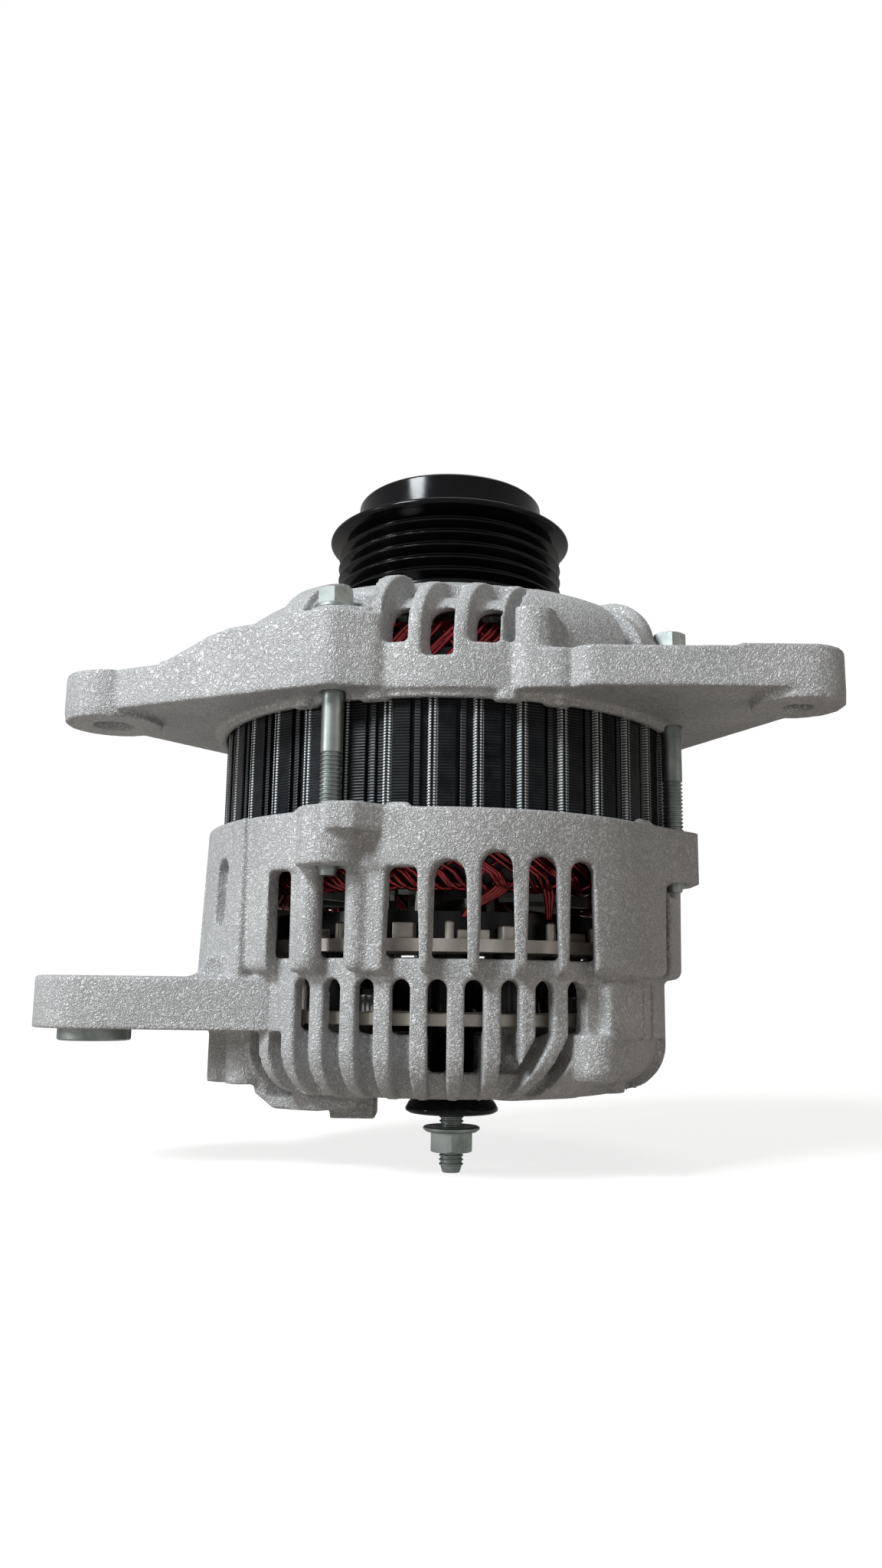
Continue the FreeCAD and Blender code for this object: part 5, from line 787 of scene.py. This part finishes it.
def hexagon(across_flats, low, high, both=False):
    """A hexagon with the corners of its top face, or of both, cut by slanted planes."""
    bm = bmesh.new()
    radius = across_flats / math.sqrt(3) / 1000
    bmesh.ops.create_cone(bm, cap_ends=True, segments=6, radius1=radius, radius2=radius,
                          depth=(high - low) / 1000)
    moved(bm, 0.0, 0.0, (high + low) / 2)
    ends = [(high, 1.0)] + ([(low, -1.0)] if both else [])
    for face, sign in ends:
        for i in range(CHAMFER_CUTS):
            turn = math.radians(360 / CHAMFER_CUTS * (i + 0.5))
            out = Vector((math.cos(turn), math.sin(turn), 0))
            up = Vector((0, 0, sign * math.cos(CHAMFER)))
            touch = out * (across_flats / 2000 - 0.0002) + Vector((0, 0, face / 1000))
            cut = bmesh.ops.bisect_plane(
                bm, geom=bm.verts[:] + bm.edges[:] + bm.faces[:], plane_co=touch,
                plane_no=(out * math.sin(CHAMFER) + up).normalized(), clear_outer=True,
                dist=1e-7)
            rim = [g for g in cut["geom_cut"] if isinstance(g, bmesh.types.BMEdge)]
            if rim:
                bmesh.ops.edgenet_fill(bm, edges=rim)
    bmesh.ops.recalc_face_normals(bm, faces=bm.faces)
    return bm


def thread(root, crest, top, bottom, pitch=1.0):
    """The section of a thread from its top to its lower end."""
    points = []
    for i in range(int((top - bottom) / pitch)):
        height = top - i * pitch
        points += [(crest, height - 0.1 * pitch), (crest, height - 0.25 * pitch),
                   (root, height - 0.6 * pitch), (root, height - 0.75 * pitch)]
    return points


print("each hexagon has", CHAMFER_CUTS, "cuts to a face")

# %% [markdown]
# Four long bolts clamp the two castings on the core. Between the castings their shanks
# stand clear of it, and the thread shows at their lower ends.
# %% Long bolts
BOLT_CIRCLE, FIRST_BOLT = 65.0, -25.0
BOLT_FLATS, SHANK, THREAD_ROOT = 8.0, 2.62, 2.2
HEAD_TOP, HEAD_SEAT, THREAD_TOP, THREAD_LOW = -23.3, -27.5, -63.0, -91.0


def bolt():
    """A long bolt on the Z axis, with its washer and head."""
    washer = spun([(2.7, -28.6), (5.0, -28.6), (5.2, -28.4), (5.2, -27.7),
                   (5.0, HEAD_SEAT), (2.7, HEAD_SEAT)], steps=40)
    shank = spun(
        [(0.0, HEAD_SEAT), (SHANK, HEAD_SEAT), (SHANK, THREAD_TOP)]
        + thread(THREAD_ROOT, SHANK, THREAD_TOP, THREAD_LOW)
        + [(1.9, -92.2), (0.0, -92.2)], steps=32)
    return merged(hexagon(BOLT_FLATS, HEAD_SEAT, HEAD_TOP), washer, shank)


bolts = merged(*(moved(bolt(), *on_ring(BOLT_CIRCLE, FIRST_BOLT + 90.0 * i))
                 for i in range(4)))
finish_piece("bolt_set", bolts, "through_bolts", crease=28.0)

# %% [markdown]
# The output stud carries the current out at the bottom, with a flanged nut on its thread.
# The nut's hexagon has both its faces cut, unlike a bolt's head.
# %% Stud and nut
NUT_FLATS, NUT_LOW, NUT_TOP = 10.0, -156.3, -151.2

nut = merged(
    hexagon(NUT_FLATS, NUT_LOW, NUT_TOP, both=True),
    spun([(3.1, -150.35), (6.6, -150.35), (6.95, -150.6), (6.95, -151.0), (6.2, -151.6),
          (3.1, -151.6)], steps=40))
finish_piece("nut_with_flange", moved(nut, *STUD_PLACE), "terminal_nut", crease=28.0)
stud = spun(
    [(0.0, -102.7), (5.9, -102.7), (5.9, -105.9), (3.0, -105.9), (3.0, -143.0)]
    + thread(2.55, 2.97, -143.0, -160.0) + [(2.1, -161.1), (0.0, -161.1)], steps=24)
finish_piece("threaded_stud", moved(stud, *STUD_PLACE), "output_stud", crease=28.0)

# %% [markdown]
# Behind the vents, the rectifier's upper plate carries the ends of the winding on lugs and
# rivets along its rim. The lugs are blocks and the rivets are turned posts, and both are
# carried out to their azimuths on the plate. A row gives an azimuth, a lug's width or a
# rivet's radius, and the height of its top.
# %% Rectifier plate
RIM = -106.1
LUG_CIRCLE, RIVET_CIRCLE, LUG_DEPTH = 51.6, 52.2, 4.2
LUGS = (
    (-38, 6.0, -103.6), (-21, 4.0, -103.4), (-11, 5.0, -102.2), (7, 7.5, -103.8),
    (16, 3.0, -102.8), (35.5, 7.0, -103.9), (52, 5.0, -103.0))
RIVETS = ((-29, 1.2, -102.0), (0.9, 1.1, -101.8), (28.8, 1.2, -101.6), (44, 1.1, -102.2))


def lug(azimuth, width, top):
    """A bevelled block on the upper plate's rim."""
    piece = block(width, LUG_DEPTH, top - RIM, rounding=0.3)
    return turned(piece, LUG_CIRCLE, azimuth, (top + RIM) / 2)


def rivet(azimuth, radius, top):
    """A turned post with a rounded top, beside a lug."""
    post = spun([(0.0, RIM), (radius, RIM), (radius, top - 0.4), (radius - 0.4, top),
                 (0.0, top)], steps=24)
    return turned(post, RIVET_CIRCLE, azimuth)


plate = merged(copy_of("rectifier_positive_plate", 2.0), *(lug(*row) for row in LUGS),
               *(rivet(*row) for row in RIVETS))
finish_piece("rectifier_plate_with_lugs", plate, "rectifier_positive_plate", crease=30.0)

# %% [markdown]
# Each diode is a bright pressed cup with a black cap of resin on it. The CAD nodes have
# both in one solid, so the cups and the caps become two pieces, and each stands in for
# both nodes. Their heights are read from the nodes' own boxes.
# %% Diodes
DIODE_CIRCLE, DIODE_AZIMUTHS = 38.0, (-52, -28, 29, 52)
CUP_RADIUS, CAP_RADIUS, CUP_BELOW = 5.15, 4.5, 2.2

cups, caps = [], []
for name in ("negative_diodes", "positive_diodes"):
    low, high = (corner.z * 1000 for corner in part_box(name))
    for azimuth in DIODE_AZIMUTHS:
        place = on_ring(DIODE_CIRCLE, azimuth)
        rim = high - CUP_BELOW
        cup = [(0.0, low), (CUP_RADIUS, low), (CUP_RADIUS, rim - 0.4), (4.9, rim),
               (0.0, rim)]
        cap = [(0.0, rim), (CAP_RADIUS, rim), (CAP_RADIUS, high - 0.9), (3.2, high - 0.3),
               (0.0, high - 0.3)]
        cups.append(moved(spun(cup, steps=32), *place))
        caps.append(moved(spun(cap, steps=32), *place))
finish_piece("diode_cups", merged(*cups), "negative_diodes", "positive_diodes",
             look="bearing_steel")
finish_piece("diode_caps", merged(*caps), "negative_diodes", "positive_diodes",
             look="black_plastic")

# %% [markdown]
# The black terminal block is a curved bar behind the upper plate. A skirt and a partition
# go with it as dark sheets of painted shade, because without them daylight shows through
# the lower vents where the inside is in shadow. A spin through part of a turn makes each
# curved wall.
# %% Terminal block


def arc_wall(inner, outer, low, high, first, last):
    """A curved wall between two azimuths, from a spin through part of a turn."""
    bm = bmesh.new()
    square = [bm.verts.new((0.0, -r / 1000, z / 1000))
              for r, z in ((inner, low), (outer, low), (outer, high), (inner, high))]
    face = bm.faces.new(square)
    rotated(bm, first)
    bmesh.ops.spin(bm, geom=[face] + face.edges[:] + square, cent=(0, 0, 0), axis=(0, 0, 1),
                   angle=math.radians(last - first), steps=int((last - first) / 3))
    bmesh.ops.recalc_face_normals(bm, faces=bm.faces)
    return bm


body = arc_wall(inner=42.2, outer=48.6, low=-106.0, high=-99.2, first=-64, last=72)
# Painted shade: the skirt and the partition are dark sheets standing for the shaded inside.
skirt = arc_wall(inner=25.3, outer=26.3, low=-122.5, high=-109.5, first=-66, last=76)
partition = turned(block(width=1.2, depth=26.0, height=13.0), 39.0, 66, -116.0)
finish_piece("terminal_block_and_skirt", merged(body, skirt, partition), "terminal_block",
             crease=30.0)

# %% [markdown]
# Pressed and machined parts have small broken edges that catch the light. For these a
# bevel on a copy of the CAD node is enough: flat faces are joined again, and every edge
# that turns by more than forty degrees gets a narrow chamfer, its width given here. The
# rectifier's spacers are black as painted shade, because a pale one would show between the
# vents.
# %% Broken edges
CHAMFER_WIDTHS = {
    "rear_lug_bush": 0.4, "plug_socket": 0.4, "regulator_body": 0.5, "brush_holder": 0.3,
    "rectifier_negative_plate": 0.25, "rectifier_spacers": 0.3, "front_spacer": 0.3,
    "pulley_spacer": 0.3, "clutch_hub": 0.4, "bearing_retainer_plate": 0.2,
    "rotor_shaft": 0.3, "pulley_dust_cap": 0.3}
# The spacers are black as painted shade between the vents.
PAINTED_SHADE_LOOKS = {"rectifier_spacers": "black_plastic"}

for name, width in CHAMFER_WIDTHS.items():
    part = copy_of(name, 2.0)
    bevel(part, sharp_edges(part, 40), width, segments=1, clamp=True)
    finish_piece(name + "_finished", part, name, crease=30.0, look=PAINTED_SHADE_LOOKS.get(name))

for side in ("upper", "lower"):
    name = side + "_brush_spring"
    low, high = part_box(name)
    coil = finish_piece(name + "_coil", copy_of(name), name, crease=40.0)
    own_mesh(coil)

# %% [markdown]
# Every CAD node gets its slot's material too. Many of them, such as the bearings and the
# claw poles, are shown just as the CAD model has them.
# %% Materials of the nodes
for name, node in nodes.items():
    node.data.materials.clear()
    node.data.materials.append(materials[SLOT_OF[name]])
print("dressed", len(nodes), "nodes")

# %% [markdown]
# The floor and the sky are white where the camera or a mirror sees them, and dimmer as a
# source of light, so that the background is white without washing out the metal. The
# floor still darkens in the object's shadow, and the light that it throws back up is a
# little warm, as under the ears in the photograph.
# %% Floor
MIRRORED = 0.3
FLOOR_SIZE, FLOOR_GAP = 12.0, 0.0002
WARM_BOUNCE, PALE_FLOOR = (0.33, 0.295, 0.265), (0.38, 0.37, 0.36)
BLACK, WHITE = (0.0, 0.0, 0.0), (1.0, 1.0, 1.0)


def sight(tree):
    """Masks for camera rays alone, and for all rays that should meet white."""
    path = add(tree, "ShaderNodeLightPath")
    camera_rays = path.outputs["Is Camera Ray"]
    mirrored = math_node(tree, "MULTIPLY", path.outputs["Is Glossy Ray"], MIRRORED)
    seen = math_node(tree, "MAXIMUM", camera_rays, mirrored)
    return camera_rays, math_node(tree, "MAXIMUM", seen, path.outputs["Is Transmission Ray"])


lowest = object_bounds()[0].z
bpy.ops.mesh.primitive_plane_add(size=FLOOR_SIZE, location=(0, 0, lowest - FLOOR_GAP))
floor = bpy.context.object
floor.name = "floor"
floor_material, tree, shader = material(
    "floor", roughness=0.9, specular_ior_level=0.1, emission_strength=1.0)
camera_rays, seen = sight(tree)
wire(tree, mix(tree, camera_rays, WARM_BOUNCE, PALE_FLOOR), shader, "Base Color")
ground = add(tree, "ShaderNodeTexCoord").outputs["Object"]
away = add(tree, "ShaderNodeVectorMath", {0: ground}, operation="LENGTH").outputs["Value"]
pale = ramp(tree, away, [(0.25, 0.79), (0.9, 0.98)])
wire(tree, mix(tree, seen, BLACK, pale), shader, "Emission Color")
floor.data.materials.append(floor_material)
print("floor at", round(lowest * 1000, 2), "mm")

# %% [markdown]
# The world does the same above the horizon: a dim, faintly warm sky for the light that it
# sends, and white for whoever looks at it.
# %% World
DIM_SKY = (0.08, 0.077, 0.073)

world = bpy.data.worlds.new("world")
scene.world = world
world.use_nodes = True
tree = world.node_tree
sky = mix(tree, sight(tree)[1], DIM_SKY, WHITE)
wire(tree, sky, tree.nodes["Background"], "Color")
print("sky", DIM_SKY)

# %% [markdown]
# Four soft discs light the object. The key hangs high on the left and forward, as in the
# photograph. A small one low on the left brings out the ears' edges, a weak warm one
# fills the right side, and a wide one overhead lights the tops. Each is given its place in
# metres, its width, its watts and its colour.
# %% Lamps
MIDDLE = Vector((0.0, 0.0, -0.075))


def lamp(name, place, size, power, colour):
    """An area lamp at a place, turned towards the middle of the object."""
    data = bpy.data.lights.new(name, "AREA")
    data.shape = "DISK"
    data.size = size
    data.energy = power
    data.color = colour
    made = bpy.data.objects.new(name, data)
    scene.collection.objects.link(made)
    made.location = place
    made.rotation_euler = (MIDDLE - Vector(place)).to_track_quat("-Z", "Y").to_euler()
    print(name, "gives", power, "W")


lamp("key_lamp", (-0.75, -0.75, 0.75), 0.4, 16.0, (0.93, 0.97, 1.0))
lamp("strip_lamp", (-0.75, -0.32, 0.05), 0.12, 1.4, (0.96, 0.98, 1.0))
lamp("fill_lamp", (0.9, -0.6, 0.2), 0.7, 0.7, (1.0, 0.87, 0.74))
lamp("top_lamp", (0.1, 0.3, 1.1), 0.8, 2.6, WHITE)
